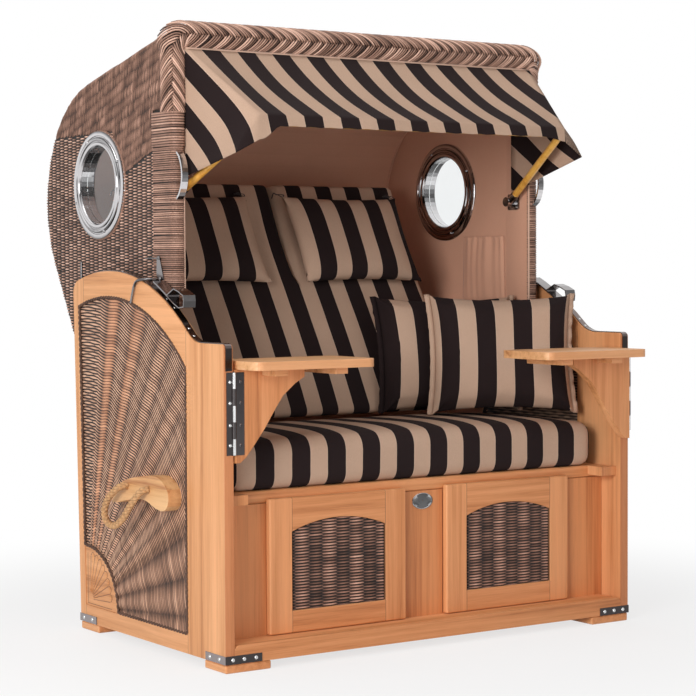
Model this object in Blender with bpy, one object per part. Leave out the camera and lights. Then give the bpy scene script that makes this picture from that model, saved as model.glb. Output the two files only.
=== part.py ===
"""Two-seat hooded beach chair: a wooden base with wicker panels, a tilting wicker hood with an
awning, two pull-out footrests and two swinging side tables. Metres, +Z up, the seat faces -Y.

While it is modelled, Y is counted from the front face of the side frames. The last step moves the
whole chair so that the middle of its footprint is the origin."""

import math

import bmesh
import bpy
from mathutils import Matrix, Vector

# Overall sizes
CHAIR_WIDTH = 1.300
BASE_DEPTH = 0.780
ARM_HEIGHT = 0.803
HOOD_HEIGHT = 1.610
HOOD_SIDE_ROOM = 0.024

# Clearances
GAP = 0.0003
RUNNING_GAP = 0.0006
OVERRUN = 0.010

# Counts
ARC_STEPS = 14
SMALL_ARC_STEPS = 6
ROUND_SIDES = 24
ROD_SIDES = 12

# Feet and corner plates
FOOT_HEIGHT = 0.0215
FOOT_WIDTH = 0.131
FOOT_DEPTH = 0.104
PLATE_LOW = 0.0225
PLATE_HEIGHT = 0.021
PLATE_FRONT_LENGTH = 0.103
PLATE_SIDE_LENGTH = 0.096
PLATE_THICKNESS = 0.0015

# Side frames
SIDE_THICKNESS = 0.026
FRONT_STILE_WIDTH = 0.185
REAR_STILE_WIDTH = 0.033
BOTTOM_RAIL_HEIGHT = 0.048
TOP_RAIL_HEIGHT = 0.067
REAR_LEAN = 0.025
HUMP_RADIUS = 0.651
ARM_FILLET_RADIUS = 0.110
ARM_NOSE_RADIUS = 0.010
REAR_CORNER_DROP = 0.030
WICKER_THICKNESS = 0.008
WICKER_RECESS = 0.004
FAN_RADIUS_Y = 0.187
FAN_RADIUS_Z = 0.163
FAN_THICKNESS = 0.012
FAN_RECESS = 0.0015
PIVOT_RAIL_THICKNESS = 0.012
PIVOT_RAIL_LOW = 0.285
PIVOT_RAIL_HIGH = 0.450

# Hood pivot, on both side frames
PIVOT_Y = 0.600
PIVOT_Z = 0.330
PIVOT_PIN_RADIUS = 0.010
PIVOT_COLLAR_RADIUS = 0.020
PIVOT_ARM_THICKNESS = 0.008
PIVOT_ARM_WIDTH = 0.050
PIVOT_ARM_TOP_Y = 0.690
PIVOT_ARM_TOP_Z = 0.740

# Steel arm rails
ARM_RAIL_WIDTH = 0.018
ARM_RAIL_THICKNESS = 0.002
ARM_RAIL_DROP = 0.065
ARM_RAIL_REAR_Y = 0.700

# Carrying handles: a wooden block and a rope loop on each side
BLOCK_THICKNESS = 0.038
BLOCK_LENGTH = 0.303
BLOCK_HEIGHT = 0.087
BLOCK_FRONT_Y = 0.221
BLOCK_LOW_Z = 0.374
ROPE_DIAMETER = 0.019
ROPE_BEVEL_RESOLUTION = 2
ROPE_STEPS_PER_POINT = 3

# Sill, front panel, seat rail, floor and back
SILL_DEPTH = 0.0797
SILL_TOP = 0.067
SILL_CORNER_RADIUS = 0.014
PANEL_FRONT = 0.080
PANEL_THICKNESS = 0.018
PANEL_TOP = 0.3990
SEAT_RAIL_DEPTH = 0.040
DECK_TOP = 0.4315
DECK_THICKNESS = 0.020
DECK_PIVOT_ROOM = 0.040
FLOOR_TOP = 0.0685
FLOOR_THICKNESS = 0.015
DIVIDER_THICKNESS = 0.020
BACK_PANEL_TOP = 0.260
BACK_PANEL_THICKNESS = 0.018
REST_BLOCK_WIDTH = 0.053
REST_BLOCK_FRONT = 0.020
REST_BLOCK_HEIGHT = 0.025

# Footrests
FOOTREST_SIDE_ROOM = 0.1395
FOOTREST_HEIGHT = 0.342
FOOTREST_SPACING = 0.133
FOOTREST_PROUD = 0.020
FOOTREST_STILE = 0.066
FOOTREST_BOTTOM_RAIL = 0.056
FOOTREST_ARCH_SPRING = 0.256
FOOTREST_ARCH_RISE = 0.028
FOOTREST_BOX_INSET = 0.0165
FOOTREST_BOX_DEPTH = 0.460
FOOTREST_BOX_HEIGHT = 0.325
FOOTREST_BOARD = 0.012
FOOTREST_SLOT_PLAY = 0.004
EDGE_ROUNDING = 0.003

# Seat cushion
SEAT_CUSHION_SIDE_ROOM = 0.039
SEAT_CUSHION_FRONT = 0.070
SEAT_CUSHION_REAR = 0.530
SEAT_CUSHION_THICKNESS = 0.122
SEAT_CUSHION_ROUNDING = 0.034
SEAT_CUSHION_CROWN = 0.018
SEAT_CUSHION_DRAW_IN = 0.006

# Hood shell
RIM_Y = 0.330
RIM_HEIGHT = 0.058
RIM_DEPTH = 0.050
RIM_CORNER_RADIUS = 0.028
ROOF_DROP_AT_RIM = 0.009
POST_WIDTH = 0.031
POST_DEPTH = 0.105
POST_FOOT = 0.890
SHELL_THICKNESS = 0.022
LINING_THICKNESS = 0.004
BOW_RADIUS = 0.333
BOW_CENTRE_Y = 0.745
BOW_CENTRE_Z = 1.170
HOOD_FOOT_Y = 0.655
HOOD_FOOT_Z = 0.360

# Portholes
PORTHOLE_Y = 0.737
PORTHOLE_Z = 1.214
PORTHOLE_BORE_RADIUS = 0.104
PORTHOLE_TUBE_WALL = 0.010
PORTHOLE_FLANGE_RADIUS = 0.147
PORTHOLE_FLANGE_THICKNESS = 0.006
GLASS_THICKNESS = 0.004

# Grab handles on the posts
HANDLE_LENGTH = 0.120
HANDLE_REACH = 0.030
HANDLE_FOOT_Z = 1.165
HANDLE_WIDTH = 0.018
HANDLE_THICKNESS = 0.006

# Backrest, inside the hood
BACKREST_SIDE_ROOM = 0.1337
BACKREST_FOOT_Y = 0.455
BACKREST_FOOT_Z = 0.576
BACKREST_LUMBAR_Y = 0.625
BACKREST_LUMBAR_Z = 0.850
BACKREST_BEND_Y = 0.764
BACKREST_BEND_Z = 1.070
BACKREST_TOP_Y = 0.830
BACKREST_TOP_Z = 1.235
BACKREST_CUSHION_THICKNESS = 0.070
BACKREST_CUSHION_ROUNDING = 0.024
BACKREST_CUSHION_CROWN = 0.012
BACK_BOARD_THICKNESS = 0.012
BACK_BOARD_SHOULDER_Z = 0.880
BACKREST_SPLIT_WIDTH = 0.014
BACKREST_SPLIT_Z = 0.950

# Neck pillows
NECK_PILLOW_SPACING = 0.110
LEFT_NECK_PILLOW_ROOM = 0.0417
RIGHT_NECK_PILLOW_INSET = 0.038
NECK_PILLOW_HEIGHT = 0.292
NECK_PILLOW_THICKNESS = 0.094
NECK_PILLOW_LOW_Z = 0.912
NECK_PILLOW_HIGH_Z = 1.178
NECK_PILLOW_STAND_OFF = {"left": 0.0498, "right": 0.0508}

# Throw pillows
THROW_PILLOW_WIDTH = 0.420
THROW_PILLOW_HEIGHT = 0.345
THROW_PILLOW_THICKNESS = 0.105
PILLOW_SEAM_THICKNESS = 0.008
THROW_PILLOW_DRAW_IN = 0.010
THROW_PILLOW_SETTLING = 0.0003
FRONT_PILLOW_ROOM = 0.1797
FRONT_PILLOW_Y = 0.234
FRONT_PILLOW_YAW = math.radians(27)
FRONT_PILLOW_LEAN = math.radians(8)
BACK_PILLOW_ROOM = 0.2557
BACK_PILLOW_Y = 0.373
BACK_PILLOW_YAW = math.radians(19)
BACK_PILLOW_LEAN = math.radians(14)

# Latch loops beside the posts
LATCH_PIN_DEPTH = 0.00914
LATCH_PIN_TURN = math.radians(20.807)
LATCH_PIN_Y = PIVOT_Y - (HUMP_RADIUS - LATCH_PIN_DEPTH) * math.sin(LATCH_PIN_TURN)
LATCH_PIN_Z = PIVOT_Z + (HUMP_RADIUS - LATCH_PIN_DEPTH) * math.cos(LATCH_PIN_TURN)
LATCH_LOOP_REACH = 0.162
LATCH_LOOP_HEIGHT = 0.051
LATCH_STRAP_WIDTH = 0.035
LATCH_STRAP_THICKNESS = 0.003
LATCH_PIN_RADIUS = 0.005
LATCH_ANGLE = math.radians(188.9)

# Awning
AWNING_PIVOT_Y = 0.400
AWNING_PIVOT_Z = 1.175
AWNING_ARM_INSET = 0.0167
AWNING_ARM_SPLAY = 0.062
AWNING_BAR_Y = 0.0985
AWNING_BAR_Z = 1.350
AWNING_ARM_RADIUS = 0.010
AWNING_BAR_RADIUS = 0.008
AWNING_BOSS_RADIUS = 0.016
AWNING_BOSS_LENGTH = 0.034
CLOTH_THICKNESS = 0.003
CLOTH_POST_ROOM = 0.004
CLOTH_HEM_OVERHANG = 0.002
CLOTH_TIP_INSET = 0.005
CLOTH_HEM_Y = 0.086
CLOTH_HEM_TOP = 1.374
CLOTH_HEM_DROP = 0.026
CLOTH_SIDE_TIP_Z = 1.292
CLOTH_SIDE_BACK_Y = 0.405
CLOTH_SIDE_BACK_Z = 1.205
CLOTH_SAG = 0.012
CLOTH_FOLD = 0.003

# Side tables
TABLE_BELOW_ARM = 0.041
TABLE_LENGTH = 0.350
TABLE_DEPTH = 0.205
TABLE_THICKNESS = 0.021
TABLE_CORNER_RADIUS = 0.022
LEFT_TABLE_START = 0.011
RIGHT_TABLE_START = 0.032
BATTEN_WIDTH = 0.036
BATTEN_HEIGHT = 0.016
BATTEN_LENGTH = 0.150
BRACKET_THICKNESS = 0.026
RIGHT_BRACKET_START = 0.020
HINGE_TONGUE_THICKNESS = 0.005
BRACKET_LENGTH = 0.200
BRACKET_TIP_BELOW_TOP = 0.249
BRACKET_TIP_WIDTH = 0.026
HINGE_BELOW_TOP = 0.027
HINGE_LENGTH = 0.202
HINGE_LEAF_WIDTH = 0.020
HINGE_LEAF_THICKNESS = 0.002
HINGE_BARREL_RADIUS = 0.004

# Colours and finishes: red, green, blue, roughness, metallic
FINISHES = {
    "teak": (0.60, 0.33, 0.16, 0.55, 0.0),
    "wicker": (0.24, 0.17, 0.13, 0.80, 0.0),
    "stripe": (0.52, 0.38, 0.28, 0.90, 0.0),
    "lining": (0.45, 0.24, 0.17, 0.90, 0.0),
    "steel": (0.62, 0.62, 0.64, 0.22, 1.0),
    "glass": (0.90, 0.95, 0.96, 0.05, 0.0),
    "rope": (0.63, 0.45, 0.27, 0.90, 0.0),
    "arm_wood": (0.68, 0.42, 0.12, 0.50, 0.0),
}

HALF_WIDTH = CHAIR_WIDTH / 2
INNER_HALF = HALF_WIDTH - SIDE_THICKNESS
SEAT_CUSHION_WIDTH = 2 * (INNER_HALF - SEAT_CUSHION_SIDE_ROOM)
HOOD_HALF = INNER_HALF - HOOD_SIDE_ROOM
FRAME_BOTTOM = FOOT_HEIGHT + GAP
SHELL_INNER_HALF = HOOD_HALF - SHELL_THICKNESS
LINING_HALF = SHELL_INNER_HALF - GAP
LINING_INNER_HALF = LINING_HALF - LINING_THICKNESS
POST_INNER_HALF = HOOD_HALF - POST_WIDTH
BACKREST_WIDTH = 2 * (LINING_INNER_HALF - BACKREST_SIDE_ROOM)
NECK_PILLOW_EDGE = {"left": LINING_INNER_HALF - LEFT_NECK_PILLOW_ROOM,
                    "right": BACKREST_WIDTH / 2 - RIGHT_NECK_PILLOW_INSET}
NECK_PILLOW_WIDTH = (NECK_PILLOW_EDGE["left"] + NECK_PILLOW_EDGE["right"] - NECK_PILLOW_SPACING) / 2
FRONT_PILLOW_X = LINING_INNER_HALF - FRONT_PILLOW_ROOM
BACK_PILLOW_X = LINING_INNER_HALF - BACK_PILLOW_ROOM
AWNING_ARM_X = POST_INNER_HALF - GAP - AWNING_ARM_INSET
AWNING_BAR_HALF = AWNING_ARM_X - AWNING_ARM_SPLAY
CLOTH_HALF_AT_RIM = POST_INNER_HALF - CLOTH_POST_ROOM
CLOTH_HALF_AT_HEM = AWNING_BAR_HALF + CLOTH_HEM_OVERHANG
CLOTH_HALF_AT_TIP = CLOTH_HALF_AT_RIM - CLOTH_TIP_INSET
FOOTREST_WIDTH = INNER_HALF - FOOTREST_SIDE_ROOM - FOOTREST_SPACING / 2
FOOTREST_CENTRE = (FOOTREST_SPACING + FOOTREST_WIDTH) / 2
FOOTREST_BOX_WIDTH = FOOTREST_WIDTH - 2 * FOOTREST_BOX_INSET
DECK_REAR = PIVOT_Y - DECK_PIVOT_ROOM
TABLE_TOP_Z = ARM_HEIGHT - TABLE_BELOW_ARM
BRACKET_TIP_Z = TABLE_TOP_Z - BRACKET_TIP_BELOW_TOP
HINGE_HIGH = TABLE_TOP_Z - HINGE_BELOW_TOP
HINGE_LOW = HINGE_HIGH - HINGE_LENGTH
RIM_LOW = HOOD_HEIGHT - RIM_HEIGHT
POST_REAR = RIM_Y + POST_DEPTH
RIM_REAR = RIM_Y + RIM_DEPTH
SIDES = {"left": -1, "right": 1}

made_materials = {}


# Materials and scene

def clear_scene():
    for old in list(bpy.data.objects):
        bpy.data.objects.remove(old, do_unlink=True)


def finish(name):
    if name not in made_materials:
        red, green, blue, roughness, metallic = FINISHES[name]
        made = bpy.data.materials.new(name)
        made.use_nodes = True
        shader = made.node_tree.nodes["Principled BSDF"]
        shader.inputs["Base Color"].default_value = (red, green, blue, 1)
        shader.inputs["Roughness"].default_value = roughness
        shader.inputs["Metallic"].default_value = metallic
        if name == "glass":
            shader.inputs["Alpha"].default_value = 0.35
        made_materials[name] = made
    return made_materials[name]


def add_empty(name, location, parent=None):
    empty = bpy.data.objects.new(name, None)
    bpy.context.scene.collection.objects.link(empty)
    empty.empty_display_size = ROPE_DIAMETER
    empty.parent = parent
    parent_at = parent.matrix_world.translation if parent else Vector()
    empty.location = Vector(location) - parent_at
    bpy.context.view_layer.update()
    return empty


def add_mesh(name, points, faces, material, parent, smooth_angle=None):
    """An object whose points are given in the chair's own coordinates."""
    at = parent.matrix_world.translation
    mesh = bpy.data.meshes.new(name)
    mesh.from_pydata([Vector(p) - at for p in points], [], faces)
    work = bmesh.new()
    work.from_mesh(mesh)
    bmesh.ops.recalc_face_normals(work, faces=work.faces)
    work.to_mesh(mesh)
    work.free()
    mesh.materials.append(finish(material))
    made = bpy.data.objects.new(name, mesh)
    bpy.context.scene.collection.objects.link(made)
    made.parent = parent
    if smooth_angle is not None:
        mesh.shade_smooth()
        mesh.set_sharp_from_angle(angle=smooth_angle)
    return made


def make_cutter(obj):
    obj.hide_render = True
    obj.display_type = "WIRE"
    obj.name = "cutter_" + obj.name
    return obj


def combine(obj, operation, others):
    for other in others:
        make_cutter(other)
        step = obj.modifiers.new(operation.lower(), "BOOLEAN")
        step.operation = operation
        step.object = other


def subtract(obj, *cutters):
    combine(obj, "DIFFERENCE", cutters)


def unite(obj, *others):
    combine(obj, "UNION", others)


def round_edges(obj, width, segments=2):
    step = obj.modifiers.new("rounding", "BEVEL")
    step.width = width
    step.segments = segments
    step.limit_method = "ANGLE"
    step.angle_limit = math.radians(50)


# Outlines

def arc(centre, radius, start, end, steps=ARC_STEPS):
    """Points on a circle, or on an ellipse where radius is a pair, from start to end in radians."""
    across, up = radius if isinstance(radius, tuple) else (radius, radius)
    points = []
    for i in range(steps + 1):
        angle = start + (end - start) * i / steps
        points.append((centre[0] + across * math.cos(angle), centre[1] + up * math.sin(angle)))
    return points


def soft_corner(before, corner, after, steps=SMALL_ARC_STEPS):
    points = []
    for i in range(steps + 1):
        t = i / steps
        mix = ((1 - t) ** 2, 2 * t * (1 - t), t ** 2)
        points.append(tuple(mix[0] * before[k] + mix[1] * corner[k] + mix[2] * after[k] for k in (0, 1)))
    return points


def smooth_line(points, steps):
    """A smooth curve through the given points, with as many steps between each two of them."""
    rows = [Vector(p) for p in points]
    rows = [2 * rows[0] - rows[1]] + rows + [2 * rows[-1] - rows[-2]]
    line = []
    for i in range(1, len(rows) - 2):
        a, b, c, d = rows[i - 1:i + 3]
        for k in range(steps):
            t = k / steps
            line.append(b + (c - a) * t / 2 + (2 * a - 5 * b + 4 * c - d) * t ** 2 / 2
                        + (3 * b - a - 3 * c + d) * t ** 3 / 2)
    line.append(rows[-2])
    return line


def area_of(outline):
    total = 0
    for (a, b), (c, d) in zip(outline, outline[1:] + outline[:1]):
        total += a * d - b * c
    return total / 2


def shifted(outline, distance, closed=True):
    """The outline moved sideways: inwards for a closed one, to the left of its run for an open one."""
    turn = 1 if not closed or area_of(outline) > 0 else -1
    count = len(outline)
    moved = []
    for i, point in enumerate(outline):
        here = Vector(point)
        before = Vector(outline[i - 1]) if closed or i else here
        after = Vector(outline[(i + 1) % count]) if closed or i < count - 1 else here
        first = (here - before).normalized() if here != before else (after - here).normalized()
        second = (after - here).normalized() if here != after else first
        normal = Vector((-first.y - second.y, first.x + second.x)) * turn
        normal.normalize()
        lean = max(normal.dot(Vector((-first.y, first.x)) * turn), 0.35)
        moved.append(tuple(here + normal * (distance / lean)))
    return moved


def prism(name, outline, axis, low, high, material, parent, smooth_angle=None):
    """A straight solid: the outline's two coordinates are the two axes other than the given one."""
    count = len(outline)
    place = {"x": lambda a, b, c: (c, a, b), "y": lambda a, b, c: (a, c, b), "z": lambda a, b, c: (a, b, c)}[axis]
    points = [place(a, b, low) for a, b in outline] + [place(a, b, high) for a, b in outline]
    faces = [list(range(count)), list(range(count, 2 * count))[::-1]]
    faces += [(i, (i + 1) % count, (i + 1) % count + count, i + count) for i in range(count)]
    return add_mesh(name, points, faces, material, parent, smooth_angle)


def box(name, low, high, material, parent):
    outline = [(low[0], low[1]), (high[0], low[1]), (high[0], high[1]), (low[0], high[1])]
    return prism(name, outline, "z", low[2], high[2], material, parent)


def between(one, two):
    return (one, two) if one < two else (two, one)


def rod(name, start, end, radius, material, parent, sides=ROD_SIDES):
    """A straight round bar from start to end."""
    start, end = Vector(start), Vector(end)
    turn = (end - start).to_track_quat("Z", "Y").to_matrix()
    points = []
    for at in (start, end):
        for i in range(sides):
            angle = 2 * math.pi * i / sides
            points.append(at + turn @ Vector((radius * math.cos(angle), radius * math.sin(angle), 0)))
    faces = [list(range(sides))[::-1], list(range(sides, 2 * sides))]
    faces += [(i, (i + 1) % sides, (i + 1) % sides + sides, i + sides) for i in range(sides)]
    return add_mesh(name, points, faces, material, parent, math.radians(40))


def turned(name, profile, centre, side, material, parent, sides=ROUND_SIDES):
    """A ring turned about an axis along X: the profile is (distance out, radius), a closed loop."""
    points = []
    for i in range(sides):
        angle = 2 * math.pi * i / sides
        for out, radius in profile:
            points.append((side * out, centre[0] + radius * math.cos(angle), centre[1] + radius * math.sin(angle)))
    count = len(profile)
    faces = []
    for i in range(sides):
        for k in range(count):
            faces.append((i * count + k, i * count + (k + 1) % count,
                          (i + 1) % sides * count + (k + 1) % count, (i + 1) % sides * count + k))
    return add_mesh(name, points, faces, material, parent, math.radians(40))


# Soft forms

def rounded_grid(size, rounding, counts):
    """Coordinates along one side of a cushion: close together where the edge is round."""
    half = size / 2
    shares = (0.0, 0.35, 1.0)
    start = [-half + rounding * share for share in shares]
    middle = [-half + rounding + (size - 2 * rounding) * i / counts for i in range(1, counts)]
    return start + middle + [-value for value in reversed(start)]


def box_cushion(name, size, rounding, counts, shape, material, parent):
    """A cushion with round edges: shape turns its own x, y, z, middle at 0, into the chair's place."""
    lines = [rounded_grid(size[k], rounding, counts[k]) for k in range(3)]
    inner = [size[k] / 2 - rounding for k in range(3)]
    index = {}
    points = []
    last = [len(line) - 1 for line in lines]

    def vertex(i, j, k):
        if (i, j, k) not in index:
            raw = Vector((lines[0][i], lines[1][j], lines[2][k]))
            core = Vector([max(-inner[n], min(inner[n], raw[n])) for n in range(3)])
            out = raw - core
            index[i, j, k] = len(points)
            points.append(shape(core + out.normalized() * rounding if out.length else raw))
        return index[i, j, k]

    faces = []
    for axis in range(3):
        first, second = [n for n in range(3) if n != axis]
        for end in (0, last[axis]):
            for a in range(last[first]):
                for b in range(last[second]):
                    corners = []
                    for da, db in ((0, 0), (1, 0), (1, 1), (0, 1)):
                        key = [0, 0, 0]
                        key[axis], key[first], key[second] = end, a + da, b + db
                        corners.append(vertex(*key))
                    faces.append(corners)
    return add_mesh(name, points, faces, material, parent, math.radians(60))


def pillow(name, size, seam, draw_in, place, material, parent, counts=(14, 12)):
    """A sewn pillow: two bulging sheets that meet in a thin seam, its edges drawn in between corners."""
    width, height, thickness = size
    points = []
    faces = []
    columns, rows = counts
    for face in (1, -1):
        for j in range(rows + 1):
            for i in range(columns + 1):
                u = math.sin(math.pi / 2 * (2 * i / columns - 1))
                v = math.sin(math.pi / 2 * (2 * j / rows - 1))
                across = width / 2 * u - draw_in * u * (1 - v * v)
                up = height / 2 * v - draw_in * v * (1 - u * u)
                bulge = ((1 - u ** 4) * (1 - v ** 4)) ** 0.55
                out = face * (seam / 2 + (thickness - seam) / 2 * bulge)
                points.append(place(Vector((across, out, up))))
    sheet = (rows + 1) * (columns + 1)

    def at(face, i, j):
        return face * sheet + j * (columns + 1) + i

    for face in (0, 1):
        for j in range(rows):
            for i in range(columns):
                faces.append((at(face, i, j), at(face, i + 1, j), at(face, i + 1, j + 1), at(face, i, j + 1)))
    rim = [(i, 0) for i in range(columns)] + [(columns, j) for j in range(rows)]
    rim += [(i, rows) for i in range(columns, 0, -1)] + [(0, j) for j in range(rows, 0, -1)]
    for one, two in zip(rim, rim[1:] + rim[:1]):
        faces.append((at(0, *one), at(0, *two), at(1, *two), at(1, *one)))
    return add_mesh(name, points, faces, material, parent, math.radians(60))


# The side frames' outlines, in (y, z)

def rear_edge_y(z):
    return BASE_DEPTH + REAR_LEAN * (z - FRAME_BOTTOM) / (ARM_HEIGHT - FRAME_BOTTOM)


def hump_z(y, radius=HUMP_RADIUS):
    return PIVOT_Z + math.sqrt(radius ** 2 - (y - PIVOT_Y) ** 2)


def rear_corner(radius=HUMP_RADIUS, inset=0):
    """Where an arc about the hood's pivot meets a line at a distance from the rear edge."""
    y = BASE_DEPTH
    for _ in range(20):
        y = rear_edge_y(hump_z(y, radius)) - inset
    return y, hump_z(y, radius)


def top_edge():
    """The top of a side frame from the nose of the arm to the rear corner."""
    fillet_z = ARM_HEIGHT + ARM_FILLET_RADIUS
    reach = HUMP_RADIUS + ARM_FILLET_RADIUS
    drop = fillet_z - PIVOT_Z
    fillet_y = PIVOT_Y - math.sqrt(reach ** 2 - drop ** 2)
    turn = math.atan2(drop, PIVOT_Y - fillet_y)
    nose = arc((ARM_NOSE_RADIUS, ARM_HEIGHT - ARM_NOSE_RADIUS), ARM_NOSE_RADIUS, math.pi, math.pi / 2, 3)
    fillet = arc((fillet_y, fillet_z), ARM_FILLET_RADIUS, -math.pi / 2, -turn, SMALL_ARC_STEPS)
    corner = rear_corner()
    rear_angle = math.atan2(corner[1] - PIVOT_Z, corner[0] - PIVOT_Y) + REAR_CORNER_DROP / HUMP_RADIUS
    hump = arc((PIVOT_Y, PIVOT_Z), HUMP_RADIUS, math.pi - turn, rear_angle)
    low_z = corner[1] - REAR_CORNER_DROP
    rounded = soft_corner(hump[-1], corner, (rear_edge_y(low_z), low_z))
    return nose + fillet + hump[1:] + rounded[1:]


def side_outline():
    bottom = [(rear_edge_y(FRAME_BOTTOM), FRAME_BOTTOM), (0, FRAME_BOTTOM)]
    return top_edge() + bottom


def opening_outline():
    """The opening for the wicker, counted from its lower front corner."""
    low = FRAME_BOTTOM + BOTTOM_RAIL_HEIGHT
    radius = HUMP_RADIUS - TOP_RAIL_HEIGHT
    rear = rear_corner(radius, REAR_STILE_WIDTH)
    front_angle = math.acos((FRONT_STILE_WIDTH - PIVOT_Y) / radius)
    rear_angle = math.acos((rear[0] - PIVOT_Y) / radius)
    top = arc((PIVOT_Y, PIVOT_Z), radius, rear_angle, front_angle)
    return [(FRONT_STILE_WIDTH, low), (rear_edge_y(low) - REAR_STILE_WIDTH, low)] + top


def fan_corner_point():
    return opening_outline()[1]


def fan_arc():
    """The curved edge of the carved corner piece, from the bottom rail to the rear stile."""
    centre = fan_corner_point()
    top_z = centre[1] + FAN_RADIUS_Z
    points = arc(centre, (FAN_RADIUS_Y, FAN_RADIUS_Z), math.pi, math.pi / 2, 10)
    points[-1] = (rear_edge_y(top_z) - REAR_STILE_WIDTH, top_z)
    return points


def wicker_outline():
    outline = opening_outline()
    return outline[:1] + fan_arc() + outline[2:]


# Base

def build_side(side_name, side, base):
    outer = side * HALF_WIDTH
    inner = side * INNER_HALF
    frame = prism(side_name + "_side_frame", side_outline(), "x", *between(inner, outer), "teak", base)
    cut_low, cut_high = between(inner - side * OVERRUN, outer + side * OVERRUN)
    opening = prism(side_name + "_opening", opening_outline(), "x", cut_low, cut_high, "teak", base)
    overlap = ARM_NOSE_RADIUS
    rail_outer = inner + side * PIVOT_RAIL_THICKNESS
    rail_low, rail_high = between(inner, rail_outer)
    rail = box(side_name + "_pivot_rail", (rail_low, FRONT_STILE_WIDTH - overlap, PIVOT_RAIL_LOW),
               (rail_high, BASE_DEPTH - overlap, PIVOT_RAIL_HIGH), "teak", base)
    block_low, block_high = between(inner + side * overlap, inner - side * REST_BLOCK_WIDTH)
    block_top = DECK_TOP
    block = box(side_name + "_rest_block", (block_low, REST_BLOCK_FRONT, block_top - REST_BLOCK_HEIGHT),
                (block_high, PANEL_FRONT - GAP, block_top), "teak", base)
    hole = rod(side_name + "_pivot_hole", (inner - side * OVERRUN, PIVOT_Y, PIVOT_Z),
               (outer, PIVOT_Y, PIVOT_Z), PIVOT_PIN_RADIUS + RUNNING_GAP, "teak", base)
    subtract(frame, opening)
    unite(frame, rail, block)
    subtract(frame, hole)

    wicker_out = outer - side * WICKER_RECESS
    wicker_in = wicker_out - side * WICKER_THICKNESS
    prism(side_name + "_wicker_panel", shifted(wicker_outline(), GAP), "x",
          *between(wicker_in, wicker_out), "wicker", base)
    fan = fan_arc() + [fan_corner_point()]
    fan_out = outer - side * FAN_RECESS
    prism(side_name + "_fan_corner", shifted(fan, GAP), "x",
          *between(fan_out - side * FAN_THICKNESS, fan_out), "teak", base)


def build_arm_rail(side_name, side, base):
    top = [p for p in top_edge() if p[0] <= ARM_RAIL_REAR_Y]
    line = [(0, ARM_HEIGHT - ARM_RAIL_DROP)] + top
    near = shifted(line, GAP, closed=False)
    far = shifted(line, GAP + ARM_RAIL_THICKNESS, closed=False)
    middle = side * (INNER_HALF + HALF_WIDTH) / 2
    prism(side_name + "_arm_rail", near + far[::-1], "x", middle - ARM_RAIL_WIDTH / 2,
          middle + ARM_RAIL_WIDTH / 2, "steel", base, math.radians(40))


def block_outline():
    """The kidney-shaped carrying block, in (y, z)."""
    shares = [(1, 0), (0.848, 0.621), (0.548, 0.897), (0.198, 1), (0.017, 0.667),
              (0, 0.276), (0.083, 0.034), (0.228, 0.080), (0.389, 0.241), (0.611, 0.230)]
    return smooth_closed([(BLOCK_FRONT_Y + BLOCK_LENGTH * y, BLOCK_LOW_Z + BLOCK_HEIGHT * z) for y, z in shares])


def smooth_closed(points, steps=3):
    count = len(points)
    wrapped = points[-1:] + points + points[:2]
    line = []
    for i in range(1, count + 1):
        a, b, c, d = [Vector(p) for p in wrapped[i - 1:i + 3]]
        for k in range(steps):
            t = k / steps
            line.append(tuple(b + (c - a) * t / 2 + (2 * a - 5 * b + 4 * c - d) * t ** 2 / 2
                              + (3 * b - a - 3 * c + d) * t ** 3 / 2))
    return line


# The rope's route: distance out of the block's face, then y and z
ROPE_ROUTE = [
    (0.0010, 0.436, 0.425), (0.012, 0.436, 0.425), (0.0215, 0.440, 0.423), (0.0265, 0.4545, 0.414),
    (0.028, 0.474, 0.402), (0.029, 0.492, 0.387), (0.029, 0.507, 0.367), (0.029, 0.511, 0.347),
    (0.029, 0.500, 0.330), (0.029, 0.481, 0.322), (0.029, 0.461, 0.321), (0.029, 0.443, 0.325),
    (0.029, 0.427, 0.333), (0.0285, 0.411, 0.343), (0.028, 0.396, 0.356), (0.027, 0.377, 0.376),
    (0.026, 0.360, 0.391), (0.0245, 0.345, 0.4045), (0.0205, 0.329, 0.419), (0.012, 0.322, 0.425),
    (0.0010, 0.322, 0.425),
]


def build_carry_handle(side_name, side, base):
    face = HALF_WIDTH - WICKER_RECESS + GAP
    outside = face + BLOCK_THICKNESS
    prism(side_name + "_carry_block", block_outline(), "x", *between(side * face, side * outside),
          "teak", base, math.radians(40))
    route = [(side * (outside + out), y, z) for out, y, z in ROPE_ROUTE]
    curve = bpy.data.curves.new(side_name + "_carry_rope", "CURVE")
    curve.dimensions = "3D"
    curve.bevel_depth = ROPE_DIAMETER / 2
    curve.bevel_resolution = ROPE_BEVEL_RESOLUTION
    curve.use_fill_caps = True
    line = smooth_line(route, ROPE_STEPS_PER_POINT)
    spline = curve.splines.new("POLY")
    spline.points.add(len(line) - 1)
    at = base.matrix_world.translation
    for point, place in zip(spline.points, line):
        point.co = (*(place - at), 1)
    curve.materials.append(finish("rope"))
    rope = bpy.data.objects.new(side_name + "_carry_rope", curve)
    bpy.context.scene.collection.objects.link(rope)
    rope.parent = base


def build_foot(name, side, front, base):
    x_out = side * HALF_WIDTH
    x_in = x_out - side * FOOT_WIDTH
    low_x, high_x = between(x_out, x_in)
    low_y = 0 if front else BASE_DEPTH - FOOT_DEPTH
    foot = box(name + "_foot", (low_x, low_y, 0), (high_x, low_y + FOOT_DEPTH, FOOT_HEIGHT), "teak", base)
    round_edges(foot, EDGE_ROUNDING, 1)


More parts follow.
